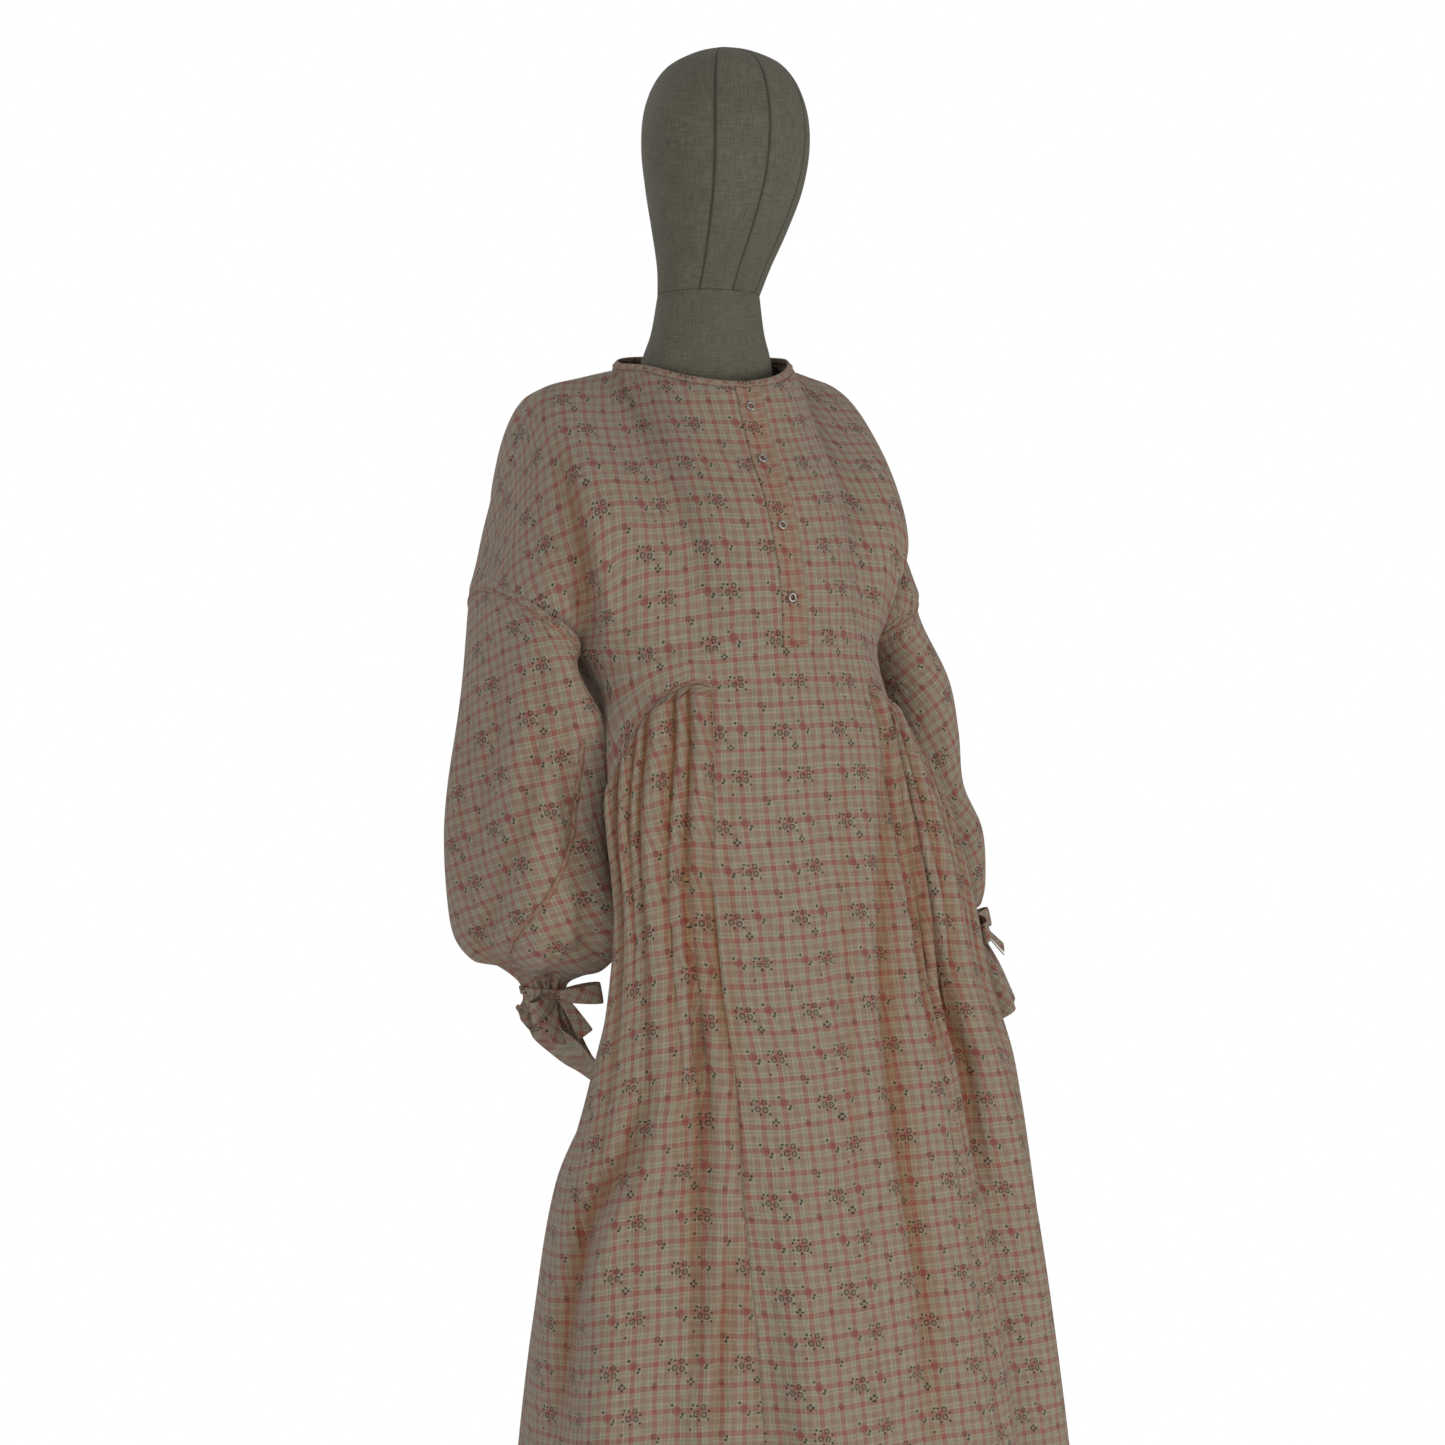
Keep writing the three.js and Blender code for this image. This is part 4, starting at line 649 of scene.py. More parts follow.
def lay_flat(points, seed, wider=None, step=4, keep=None):
    """The flat cut of a sheet in metres: its cells keep their worn size, and wider says how much more
    cloth is gathered into them. It is found on a coarse grid and filled in between."""
    rows, columns = points.shape[:2]
    row_picks, column_picks = (np.unique(np.append(np.arange(0, count, step), count - 1))
                               for count in (rows, columns))
    pick = np.ix_(row_picks, column_picks)
    worn, flat = points[pick] / 1000, seed[pick].copy()
    gathered = np.ones(worn.shape[:2]) if wider is None else wider[pick]
    kept = np.ones(worn.shape[:2], bool) if keep is None else keep[pick]
    pairs = []
    for di, dj in ((0, 1), (1, 0), (1, 1), (1, -1)):
        n, m = worn.shape[:2]
        a = (slice(0, n - di), slice(max(0, -dj), m - max(0, dj)))
        b = (slice(di, n), slice(max(0, dj), m + min(0, dj)))
        length = np.linalg.norm(worn[b] - worn[a], axis=-1)
        if dj:
            factor = 0.5 * (gathered[a] + gathered[b])
            if di:
                level = np.linalg.norm(worn[b] - worn[(b[0], a[1])], axis=-1)
                length = np.sqrt(length ** 2 + (factor ** 2 - 1) * level ** 2)
            else:
                length = length * factor
        pairs.append((a, b, length, (kept[a] & kept[b]).astype(float)))
    for _ in range(LAYING_ROUNDS):
        move, count = np.zeros_like(flat), np.full(flat.shape[:2], 1e-6)
        for a, b, length, weight in pairs:
            delta = flat[b] - flat[a]
            now = np.sqrt((delta ** 2).sum(-1)) + 1e-9
            push = delta * (0.5 * weight * (length / now - 1))[..., None]
            move[b] += push
            move[a] -= push
            count[a] += weight * 0.5
            count[b] += weight * 0.5
        flat += move / count[..., None] * 0.9
    drift = flat - seed[pick]
    for _ in range(SMOOTHING_ROUNDS):
        padded = np.pad(drift, ((1, 1), (1, 1), (0, 0)), mode="edge")
        drift = (padded[:-2, 1:-1] + padded[2:, 1:-1] + padded[1:-1, :-2] + padded[1:-1, 2:] + 4 * drift) / 8
    flat = seed[pick] + drift
    filled = [[np.interp(np.arange(columns), column_picks, row) for row in flat[..., k]] for k in (0, 1)]
    filled = [[np.interp(np.arange(rows), row_picks, line) for line in np.array(part).T] for part in filled]
    return np.array(filled).transpose(2, 1, 0)


def straight_seed(points, middle, top):
    """A first guess of the flat cut: widths along each row from its middle, and lengths down the middle."""
    width = np.array([run_along(row) for row in points]) / 1000
    length = top - run_along(points[:, middle]) / 1000
    width -= width[:, middle:middle + 1]
    return np.stack([width, np.broadcast_to(length[:, None], width.shape)], -1)


# Gauze of the abaya
# A double cotton gauze with a woven check in pink, cream and sage, printed with small calico flowers.
# The check repeats every 22 mm both ways, and the flowers stand on a 66 by 88 mm lay.
CHECK = 0.022
STRIPES = [
    # share of the repeat, colour of the thread; the second half of the repeat mirrors the first
    (0.0, (0.350, 0.146, 0.118)), (0.105, (0.335, 0.138, 0.112)), (0.130, (0.500, 0.420, 0.315)),
    (0.165, (0.385, 0.335, 0.240)), (0.215, (0.365, 0.355, 0.255)), (0.235, (0.190, 0.245, 0.165)),
    (0.258, (0.355, 0.355, 0.255)), (0.340, (0.440, 0.390, 0.290)), (0.380, (0.345, 0.250, 0.182)),
    (0.500, (0.325, 0.230, 0.165))]
STRIPES += [(1 - share, thread) for share, thread in STRIPES[-2::-1]]
LAY = (66, 88)                # millimetres between two like flowers, across and down
INKS = {
    "ring": (0.085, 0.042, 0.030, 1), "leaf": (0.016, 0.032, 0.021, 1), "rose": (0.275, 0.072, 0.070, 1),
    "star": (0.150, 0.050, 0.036, 1), "tan": (0.170, 0.105, 0.065, 1),
}


def new_group(name, *sockets):
    """A shader node group with its named inputs and outputs."""
    group = bpy.data.node_groups.new(name, "ShaderNodeTree")
    for label, way, kind in sockets:
        group.interface.new_socket(name=label, in_out=way, socket_type="NodeSocket" + kind)
    return group, group.nodes.new("NodeGroupInput").outputs, group.nodes.new("NodeGroupOutput")


def ramp(tree, value, stops):
    """A colour or shade that runs from stop to stop of a share."""
    made = node(tree, "ValToRGB", {0: value})
    elements = made.color_ramp.elements
    elements.remove(elements[-1])
    elements[0].position = stops[0][0]
    for position, _ in stops[1:]:
        elements.new(position)
    for element, (_, colour) in zip(elements, stops):
        element.color = (*colour, 1)
    return made.outputs[0]


def shaken(tree, place, scale, detail, reach, around):
    """Places moved about by noise, as far as reach."""
    wander = noise(tree, place, scale, detail).outputs["Color"]
    shift = maths(tree, "SUBTRACT", wander, (0.5, 0.5, 0.5), kind="VectorMath")
    return maths(tree, "MULTIPLY_ADD", shift, (reach,) * 3, around, kind="VectorMath")


def woven_check():
    """Colour of the woven check and the height of its threads, from the flat place in metres."""
    group, given, made = new_group("woven_check", ("Place", "INPUT", "Vector"), ("Color", "OUTPUT", "Color"),
                                   ("Height", "OUTPUT", "Float"))
    axes = node(group, "SeparateXYZ", {0: shaken(group, given[0], 34, 3, 0.0042, given[0])})
    colours, ribs = [], []
    for axis, stretch in ((0, (700, 45, 1)), (1, (45, 700, 1))):
        share = maths(group, "FRACT", maths(group, "DIVIDE", axes.outputs[axis], CHECK))
        thread = noise(group, node(group, "Mapping", {"Vector": given[0], "Scale": stretch}), 1.0, 2)
        ribs.append(thread)
        level = node(group, "MapRange", {0: thread, 1: 0.3, 2: 0.7, 3: 0.80, 4: 1.20})
        colours.append(node(group, "VectorMath", {0: ramp(group, share, STRIPES), 3: level},
                            operation="SCALE").outputs[0])
    feed(made, {0: blend(group, 0.5, *colours), 1: maths(group, "ADD", *ribs)})
    return group


def calico_print():
    """Small printed flowers over a ground colour, from the flat place in metres."""
    group, given, made = new_group("calico_print", ("Place", "INPUT", "Vector"), ("Ground", "INPUT", "Color"),
                                   ("Color", "OUTPUT", "Color"))
    in_mm = node(group, "VectorMath", {0: given[0], 3: 1000}, operation="SCALE")
    drawn = shaken(group, given[0], 420, 2, 2.2, in_mm)
    flat = maths(group, "MULTIPLY", drawn, (1, -1, 0), kind="VectorMath")
    lays = {}
    for lay, low in (("first", (-33, -15, -1)), ("second", (10, -15, -1))):
        lays[lay] = maths(group, "WRAP", flat, (low[0] + LAY[0], low[1] + LAY[1], 1), low, kind="VectorMath")
    masks = {ink: None for ink in INKS}

    def spots(ink, lay, radius, stops, *places):
        """Round spots of one ink and size, at places in millimetres on a lay."""
        for x, y in places:
            away = node(group, "VectorMath", {0: lays[lay], 1: (x, y, 0)}, operation="DISTANCE")
            share = maths(group, "DIVIDE", away.outputs["Value"], radius)
            mask = ramp(group, share, [(at, (value,) * 3) for at, value in stops])
            masks[ink] = mask if masks[ink] is None else maths(group, "MAXIMUM", masks[ink], mask)

    ring = ((0.0, 1), (0.16, 1), (0.26, 0.1), (0.46, 0.15), (0.58, 1), (0.82, 1), (1.0, 0))
    disc = ((0.0, 1), (0.62, 1), (1.0, 0))
    petals = ((0.0, 0.9), (0.16, 0.8), (0.3, 0.25), (0.48, 0.7), (0.66, 0.45), (0.84, 0.85), (1.0, 0))
    for lay, x, y in (("first", 0, 0), ("second", 43, 46)):
        for dx, dy, radius in ((-3.0, 3.0, 3.3), (3.6, -3.0, 3.0), (4.2, 4.0, 3.2)):
            spots("ring", lay, radius, ring, (x + dx, y + dy))
        spots("leaf", lay, 1.45, disc, *((x + dx, y + dy) for dx, dy in (
            (-8.2, -1.8), (-6.6, -5.0), (-8.4, 4.6), (-0.8, 8.2), (8.2, 8.0), (-2.6, -4.2), (8.6, 0.4))))
    for lay, x, y in (("first", 0, 44), ("second", 43, 0)):
        spots("rose", lay, 4.6, petals, (x, y))
        spots("leaf", lay, 1.6, disc, (x + 6.0, y + 3.4), (x + 4.6, y + 6.0), (x - 4.4, y - 5.4))
    spots("leaf", "first", 1.6, disc, (26.6, 24.0), (25.4, 27.0))
    spots("leaf", "first", 1.6, disc, (-10, 59.6), (-12.6, 62), (-7.6, 62.4), (-10.2, 64.6))
    spots("star", "first", 2.9, petals, (21, 64))
    spots("star", "first", 1.7, disc, (-9, 17))
    spots("tan", "first", 3.2, ring, (22, 22))
    colour = given[1]
    for ink, mask in masks.items():
        colour = blend(group, maths(group, "MULTIPLY", mask, 0.86), colour, INKS[ink])
    feed(made, {0: colour})
    return group


def crinkle():
    """Soft crinkles of washed gauze, drawn out along the warp."""
    group, given, made = new_group(
        "gauze_crinkle", ("Place", "INPUT", "Vector"), ("Height", "OUTPUT", "Float"))
    waves = []
    for stretch, weight in (((160, 55, 1), 0.55), ((420, 150, 1), 0.25)):
        drawn = node(group, "Mapping", {"Vector": given[0], "Scale": stretch})
        waves.append(maths(group, "MULTIPLY", noise(group, drawn, 1, 3, Distortion=0.4), weight))
    feed(made, {0: maths(group, "ADD", *waves)})
    return group


CHECK_GROUP, PRINT_GROUP, CRINKLE_GROUP = woven_check(), calico_print(), crinkle()
FOLD_SHADE_COLOUR = (0.84, 0.50, 0.31, 1)       # painted shade between two folds, warm like light that comes back through the gauze


def gauze(name, offset=(0, 0, 0), grain=0.0, tint=(1.03, 0.98, 0.965)):
    """The checked and printed gauze, laid on a piece's flat cut with its own offset and grain, with warm shade
    painted into it where the piece's fold mark is high.
    """
    material, tree, shader = new_material(name, {
        "Roughness": 0.95, "Specular IOR Level": 0.2, "Sheen Weight": 0.15, "Sheen Roughness": 0.6})
    place = node(tree, "Mapping", {
        "Vector": node(tree, "UVMap"), "Location": offset, "Rotation": (0, 0, grain)})
    check = node(tree, "Group", node_tree=CHECK_GROUP)
    printed = node(tree, "Group", node_tree=PRINT_GROUP)
    soft = node(tree, "Group", node_tree=CRINKLE_GROUP)
    for group in (check, printed, soft):
        feed(group, {"Place": place})
    feed(printed, {"Ground": check.outputs["Color"]})
    # painted shade: the fold mark darkens and warms the gauze's colour between folds and in creases
    fold = node(tree, "Attribute", attribute_name="fold")
    painted_fold_shade = blend(tree, fold.outputs["Fac"], (*tint, 1), FOLD_SHADE_COLOUR)
    threads = node(tree, "Bump", {"Height": check.outputs["Height"], "Strength": 0.25, "Distance": 0.0004})
    wrinkled = node(tree, "Bump", {"Height": soft, "Strength": 0.8, "Distance": 0.005, "Normal": threads})
    feed(shader, {"Base Color": blend(tree, 1.0, printed, painted_fold_shade, "MULTIPLY"), "Normal": wrinkled})
    return material


# Front of the abaya
# The bodice front and the centre strip are one cut of gauze, without a seam at the waist. The gathered
# side fronts are sewn into the curved seam under the bust and along the strip.
CLOTH = 0.0013                # thickness of the gauze wall, in metres
GATHERED, SPREAD = 0.45, 150  # share of cloth added in a gathered seam, and how far below it this fades


def joined_steps(*runs):
    """Even steps from end to end of each run, closer in one run than in the next."""
    parts = [np.linspace(*run) for run in runs]
    return np.concatenate(parts[:1] + [part[1:] for part in parts[1:]])


front_columns = joined_steps((0, SIDE, 129), (SIDE, PANEL_END, 61), (PANEL_END, FRONT_END, 129))
upper_shares = np.linspace(0, 1, 56)
bodice_shares = np.linspace(0, 1, 31)
drops = joined_steps((0, 0.06, 22), (0.06, 0.25, 36), (0.25, 1, 90))
front, front_fold_shade = body_rows(front_columns, upper_shares, bodice_shares, drops, True)
SEAM_ROW = len(upper_shares) + len(bodice_shares) - 2

CREASES = [
    # line across and down the photograph, height in mm, width before and after, warm shade
    ([(556, 452), (564, 483), (574, 534), (581, 585), (584, 640)], -7, 9, 16, 0.75),
    ([(540, 470), (548, 530), (556, 590)], 4, 12, 10, 0.1),
    ([(785, 640), (784, 668), (786, 690)], -1.5, 5, 6, 0.2),
    ([(816, 640), (818, 665), (817, 690)], -1.5, 5, 6, 0.2),
    ([(686, 840), (690, 930), (696, 1010), (699, 1096), (694, 1204), (692, 1312), (694, 1390)],
     -9, 8, 18, 0.7),
    ([(732, 1240), (722, 1360), (712, 1445)], -8, 8, 14, 0.6),
    ([(896, 700), (886, 790), (885, 945), (888, 1024), (899, 1132), (910, 1204), (924, 1294), (930, 1430)],
     -9, 8, 16, 0.85),
    ([(905, 780), (915, 840), (924, 880), (934, 930), (945, 985), (956, 1030), (970, 1055), (975, 1100),
      (984, 1180)], -14, 15, 6, 1.0),
    ([(640, 1090), (622, 1153), (580, 1213), (560, 1300), (552, 1430)], -14, 7, 18, 0.9),
    ([(670, 1110), (640, 1180), (599, 1261), (585, 1330)], 5, 10, 10, 0.0),
    ([(733, 760), (728, 880), (733, 988), (740, 1132), (748, 1240)], -2.2, 5, 6, 0.35),
    ([(842, 740), (846, 900), (852, 1050), (858, 1200)], -2.0, 5, 6, 0.3),
]
# painted fold shade is laid on more strongly below the bust seam
front_fold_shade[SEAM_ROW:] *= 1.25
front, front_fold_shade = creased(front, outward_normals(front), front_fold_shade, CREASES)
first_in, last_in = np.flatnonzero((front_columns >= SIDE) & (front_columns <= PANEL_END))[[0, -1]]


def walled(piece, thickness=CLOTH, offset=-1):
    """Gives a sheet its wall, on its inner side unless told otherwise."""
    wall = piece.modifiers.new("wall", "SOLIDIFY")
    wall.thickness, wall.offset = thickness, offset
    return piece


def sewn_sheet(name, points, flat, folds, node_name, offset=(0, 0, 0), keep=None):
    """A cut of the body in its place, with its wall and its gauze."""
    piece = walled(grid_piece(name, points, flat, folds, keep=keep, flip=True))
    stands_for(piece, node_name, "cloth", gauze("gauze_of_" + node_name, offset))
    return piece


def gathered_below(part):
    """How much wider than worn a skirt's cloth is cut, at each point."""
    return 1 + GATHERED * (1 - ease(np.linalg.norm(part - part[:1], axis=-1) / SPREAD))


panel_points = np.ones(front.shape[:2], bool)
panel_points[SEAM_ROW + 1:, :first_in] = panel_points[SEAM_ROW + 1:, last_in + 1:] = False
panel_cells = np.ones(front.shape[:2], bool)
panel_cells[SEAM_ROW:, :first_in] = panel_cells[SEAM_ROW:, last_in:] = False
front_seed = straight_seed(front, int(np.argmin(np.abs(front_columns - 22))), 0.3)
front_flat = lay_flat(front, front_seed, keep=panel_points)
panel = sewn_sheet("front_panel_gauze", front, front_flat, front_fold_shade * panel_points, "front_panel",
                   keep=panel_cells)

for side, low, high, offset in (("right", 0, first_in, (0.013, 0.007, 0)),
                                ("left", last_in, front.shape[1] - 1, (0.031, 0.015, 0))):
    part = front[SEAM_ROW:, low:high + 1]
    side_flat = lay_flat(part, straight_seed(part, part.shape[1] // 2, 0), wider=gathered_below(part))
    piece = sewn_sheet("side_front_gauze_" + side, part, side_flat, front_fold_shade[SEAM_ROW:, low:high + 1],
                       "side_front_" + side, offset)

# Back of the abaya
# The back bodice is one cut of gauze from the shoulders to a level seam, and the back skirt is gathered
# and sewn into that seam all the way across.
back_columns = np.linspace(FRONT_END, RING_END, 229)
back, back_fold_shade = body_rows(back_columns, upper_shares, bodice_shares, drops, False)
# the back gets less painted fold shade
back_fold_shade *= 0.55
back_seed = straight_seed(back, len(back_columns) // 2, 0.3)
bodice, skirt = slice(0, SEAM_ROW + 1), slice(SEAM_ROW, None)
bodice_flat = lay_flat(back[bodice], back_seed[bodice])
piece = sewn_sheet("back_bodice_gauze", back[bodice], bodice_flat, back_fold_shade[bodice], "back_bodice",
                   (0.004, 0.010, 0))
skirt_flat = lay_flat(back[skirt], back_seed[skirt], wider=gathered_below(back[skirt]))
piece = sewn_sheet("back_skirt_gauze", back[skirt], skirt_flat, back_fold_shade[skirt], "back_skirt",
                   (0.009, 0.002, 0))

# Sleeves and cuffs
# Wide balloon sleeves of the gauze are sewn to the dropped shoulders. Each is one cut with a seam along
# it, drawn in by a tie at the wrist, below which its hemmed end flares.
SLEEVES = {
    "right": np.array([
        # middle x, y and height, half width, half depth, how much the outer side stands higher
        (-200, 20, 1152, 40, 84, 36), (-192, 20, 1104, 52, 92, 27), (-187, 20, 1050, 64, 97, 22),
        (-187, 20, 1000, 70, 101, 19), (-185, 20, 950, 74, 105, 16), (-178, 20, 900, 76, 107, 10),
        (-174, 20, 868, 72, 99, 4), (-172, 20, 846, 56, 76, 4), (-171, 20, 840, 38, 46, 8),
        (-166, 21, 828, 22, 24, 4), (-162, 23, 811, 21, 23, 8), (-158, 26, 797, 27, 30, 20),
        (-151, 30, 781, 40, 38, 34), (-141, 28, 763, 56, 58, 43)], float),
    "left": np.array([
        (214, 22, 1166, 40, 80, 36), (236, 24, 1112, 50, 84, 27), (240, 25, 1060, 57, 88, 22),
        (240, 26, 1005, 62, 92, 20), (254, 27, 958, 74, 94, 16), (260, 28, 915, 72, 90, 6),
        (272, 28, 893, 58, 74, 4), (292, 28, 884, 38, 47, 8), (309, 28, 879, 22, 24, 14),
        (314, 28, 862, 21, 23, 18), (322, 27, 842, 29, 33, 22), (332, 26, 810, 38, 42, 26),
        (343, 25, 773, 44, 50, 29)], float)}
CUFF_ROWS = 3                 # rings of a sleeve below its tie
SLEEVE_WAVES = [
    # where on the sleeve, height in mm, count round it, turn of the first
    ("flare", 4, 4, 0.6), ("flare", 1.6, 9, 1.0), ("hanging", 5, 5, 1.1), ("drawn in", 0.9, 21, 0.4)]
WRIST_PLEATS = 1.3            # height of the uneven pleats that the tie draws in
SLACK = [(36, 1.7, 1.7), (9, 6, 1.1)]      # of the right sleeve's slack: height, level, spread
SLACK_TURN, SLACK_SPREAD = 2.44, 0.75      # where the slack hangs round the sleeve, in radians
SLEEVE_CREASES = [
    ([(580, 760), (573, 836), (562, 871), (542, 905), (521, 929), (511, 953)], -1.6, 3, 4, 0.7),
    ([(500, 640), (494, 720), (480, 800), (472, 860)], -4, 10, 12, 0.2),
    ([(540, 660), (536, 740), (520, 820), (500, 880), (486, 930)], -5, 9, 13, 0.3),
    ([(560, 700), (566, 780), (574, 860), (590, 930)], -4, 8, 11, 0.3),
    ([(470, 700), (460, 780), (458, 850), (466, 920)], -3, 8, 10, 0.2),
    ([(494, 897), (475, 942), (485, 957), (530, 980)], -4, 7, 9, 0.4),
    ([(587, 895), (580, 930), (595, 962)], -4, 7, 9, 0.3),
    ([(600, 930), (570, 955), (551, 978)], -4, 6, 8, 0.3),
    ([(560, 920), (552, 950), (547, 980)], -3, 5, 7, 0.4),
]


def sleeve_points(side, turns, levels):
    """Places of a sleeve, by turn round it and by level: 0 is the armhole, then the rings in turn."""
    sign = -1 if side == "right" else 1
    fit = (lambda line: line) if side == "right" else mirrored
    share = turns / np.pi
    ahead_line, behind_line = curve(fit(ARMHOLE_FRONT)), curve(fit(ARMHOLE_BACK))
    armhole = np.where((share <= 1)[:, None], ahead_line(share), behind_line(2 - share))
    table = SLEEVES[side]
    throat = len(table) - 1 - CUFF_ROWS
    rings = [armhole]
    for x, y, z, half, depth, tilt in table:
        tilt = math.radians(tilt)
        out, ahead = half * np.cos(turns), depth * np.sin(turns)
        rings.append(np.stack([x + sign * out * math.cos(tilt), y - ahead, z + out * math.sin(tilt)], -1))
    keys, rings = np.arange(len(rings)), np.array(rings)
    points = np.stack([np.stack([through(keys, rings[:, k, c], levels) for k in range(len(turns))], 1)
                       for c in range(3)], -1)
    middle = np.stack([through(keys, rings[..., c].mean(1), levels) for c in range(3)], -1)[:, None]
    ring_number = levels - 1
    below = ring_number - throat
    zones = {"flare": np.clip(below / CUFF_ROWS, 0, 1)[:, None], "drawn in": bell((below + 0.5) / 1.6)[:, None],
             "hanging": (ease(ring_number / 4) * ease(-below / CUFF_ROWS))[:, None]}
    pleats = zones["drawn in"] * np.cos(13 * turns + 2 * np.sin(turns))
    stand = WRIST_PLEATS * pleats
    for zone, height, count, phase in SLEEVE_WAVES:
        stand += zones[zone] * height * np.cos(count * turns + phase)
    if side == "right":
        for height, level, spread in SLACK:
            at_level = bell((levels - level) / spread)[:, None]
            stand += height * at_level * bell((turns - SLACK_TURN) / SLACK_SPREAD)
    # painted shade in the troughs of the pleats that the tie draws in
    folds = np.clip(-pleats, 0, 1) * 0.6
    return points + unit(points - middle) * stand[..., None], folds


def closed_normals(points, side):
    """Outer directions of a grid that closes round a sleeve."""
    normals = outward_normals(points) * (1 if side == "right" else -1)
    normals[:, 0] = normals[:, -1] = (normals[:, 0] + normals[:, -1]) / 2
    return normals


sleeve_faces = {}
for side in ("right", "left"):
    rings = len(SLEEVES[side])
    turns = np.linspace(0, 2 * np.pi, 201)
    levels = joined_steps((0, 1, 12), (1, rings - 6, 90), (rings - 6, rings, 74))
    points, folds = sleeve_points(side, turns, levels)
    normals = closed_normals(points, side)
    if side == "right":
        points, folds = creased(points, normals, folds, SLEEVE_CREASES)
        points[:, -1] = points[:, 0]
    # the cut is laid out from its seam on the inner side, so that the check runs straight down the outer side
    half_turn = len(turns) // 2
    rolled, rolled_fold_shade = (np.concatenate([grid[:, half_turn:-1], grid[:, :half_turn + 1]], axis=1)
                            for grid in (points, folds))
    throat = rings - CUFF_ROWS - 0.5
    gathered = np.broadcast_to(1 + 2.0 * bell((levels - throat) / 1.5)[:, None], rolled.shape[:2])
    sleeve_flat = lay_flat(rolled, straight_seed(rolled, half_turn, 0), wider=gathered)
    piece = walled(grid_piece("sleeve_gauze_" + side, rolled, sleeve_flat, rolled_fold_shade, weld=True,
                              flip=side == "right"))
    grain = -0.33 if side == "right" else 0.33
    stands_for(piece, "sleeve_" + side, "cloth", gauze("gauze_of_sleeve_" + side, (0.002, 0.012, 0), grain))
    sleeve_faces[side] = points, normals

# Sewing
# Seams lie under a narrow felled ridge of the gauze, and cotton thread shows as short pale stitches that
# hold the layers together.
thread_paint, tree, shader = new_material("cotton_thread", {"Roughness": 0.8})
twist = noise(tree, node(tree, "TexCoord").outputs["Object"], 700, 2)
feed(shader, {"Base Color": blend(tree, twist, (0.40, 0.24, 0.18, 1), (0.60, 0.44, 0.34, 1))})
STITCH_GAP, STITCH_LONG, STITCH_THICK = 3.2, 2.1, 0.34


def stitches(name, lines, node_name, slot="cloth"):
    """Rows of short stitches along lines in mm that lie on the cloth's face."""
    shape = bmesh.new()
    for line, off in lines:
        run = run_along(line)
        at = np.arange(STITCH_GAP / 2, run[-1] - STITCH_GAP / 2, STITCH_GAP)
        spots, ahead, outs = (np.stack([np.interp(where, run, values[:, k]) for k in range(3)], -1)
                              for where, values in ((at, line), (at + 0.5, line), (at, off)))
        ways = unit(ahead - spots)
        sides = unit(np.cross(outs, ways))
        for spot, way, side_way, out in zip(spots, ways, sides, np.cross(ways, sides)):
            for corner in bmesh.ops.create_cube(shape, size=1)["verts"]:
                a, b, c = corner.co
                shorter, narrower = (0.72, 0.55) if c > 0 else (1, 1)
                aside = side_way * b * STITCH_THICK * 2 * narrower + out * STITCH_THICK * (c * 1.6 + 0.5)
                corner.co = (spot + way * a * STITCH_LONG * shorter + aside) / 1000
    bmesh.ops.recalc_face_normals(shape, faces=shape.faces)
    stands_for(placed(name, shape), node_name, slot, thread_paint)


def ridge(name, line, off, node_name, half, rise):
    """A felled seam: a narrow rounded strip of gauze along a line in mm, closed at its ends."""
    aside = unit(np.cross(off, unit(np.gradient(line, axis=0))))
    angles = np.linspace(0, 2 * np.pi, 13)
    points = np.array([line + aside * half * math.cos(a) + off * (rise * (0.55 * math.sin(a) + 0.25))
                       for a in angles])
    piece = grid_piece(name, points, (run_along(line) / 1000, angles[:, None] * half / 1000), weld=True)
    shape = bmesh.new()
    shape.from_mesh(piece.data)
    bmesh.ops.holes_fill(shape, edges=[edge for edge in shape.edges if edge.is_boundary], sides=0)
    bmesh.ops.recalc_face_normals(shape, faces=shape.faces)
    shape.to_mesh(piece.data)
    shape.free()
    stands_for(piece, node_name, "cloth", seam_gauze)


seam_gauze = gauze("gauze_of_seams", (0.001, 0.002, 0), 0.785, (1.0, 0.78, 0.70))
SLEEVE_SEAM = [(581, 740), (577, 790), (573, 836), (562, 871), (542, 905), (521, 929), (509, 956)]
for side in ("right", "left"):
    points, off = sleeve_faces[side]
    ridge("armhole_seam_" + side, points[3] + off[3] * 0.2, off[3], "sleeve_" + side, 1.8, 1.1)
    if side == "right":
        # the seam along the sleeve runs through the points that show nearest to its places in the photograph
        across, down = photo_place(points / 1000)
        away = (off @ np.array(toward_camera) < 0.15) * 1e6
        spots = np.array([np.unravel_index(np.argmin((across - x) ** 2 + (down - y) ** 2 + away), away.shape)
                          for x, y in SLEEVE_SEAM], float)
        fine = np.linspace(0, len(spots) - 1, 120)
        picks = tuple(np.rint(through(np.arange(len(spots)), spots[:, k], fine)).astype(int) for k in (0, 1))
        line, line_off = points[picks], off[picks]
        for _ in range(6):
            for row in (line, line_off):
                row[1:-1] = (row[:-2] + row[2:] + 2 * row[1:-1]) / 4
        line_off = unit(line_off)
        ridge("sleeve_seam_right", line + line_off * 0.5, line_off, "sleeve_right", 2.3, 1.7)
        beside = np.cross(line_off, unit(np.gradient(line, axis=0)))
        beside_line = line + beside * 4.5 + line_off * 0.3
        stitches("sleeve_seam_stitches_right", [(beside_line, line_off)], "sleeve_right")
    hem = points[-2] * 0.8 + points[-3] * 0.2
    stitches("cuff_stitches_" + side, [(hem, off[-2]), (points[-4], off[-4])], "sleeve_" + side)

under_off = outward_normals(front)[SEAM_ROW]
for side, low, high in (("right", 1, first_in), ("left", last_in, front.shape[1] - 2)):
    line, off = front[SEAM_ROW, low:high + 1], under_off[low:high + 1]
    ridge("bust_seam_" + side, line + off * 0.5, off, "front_panel", 1.3, 0.9)

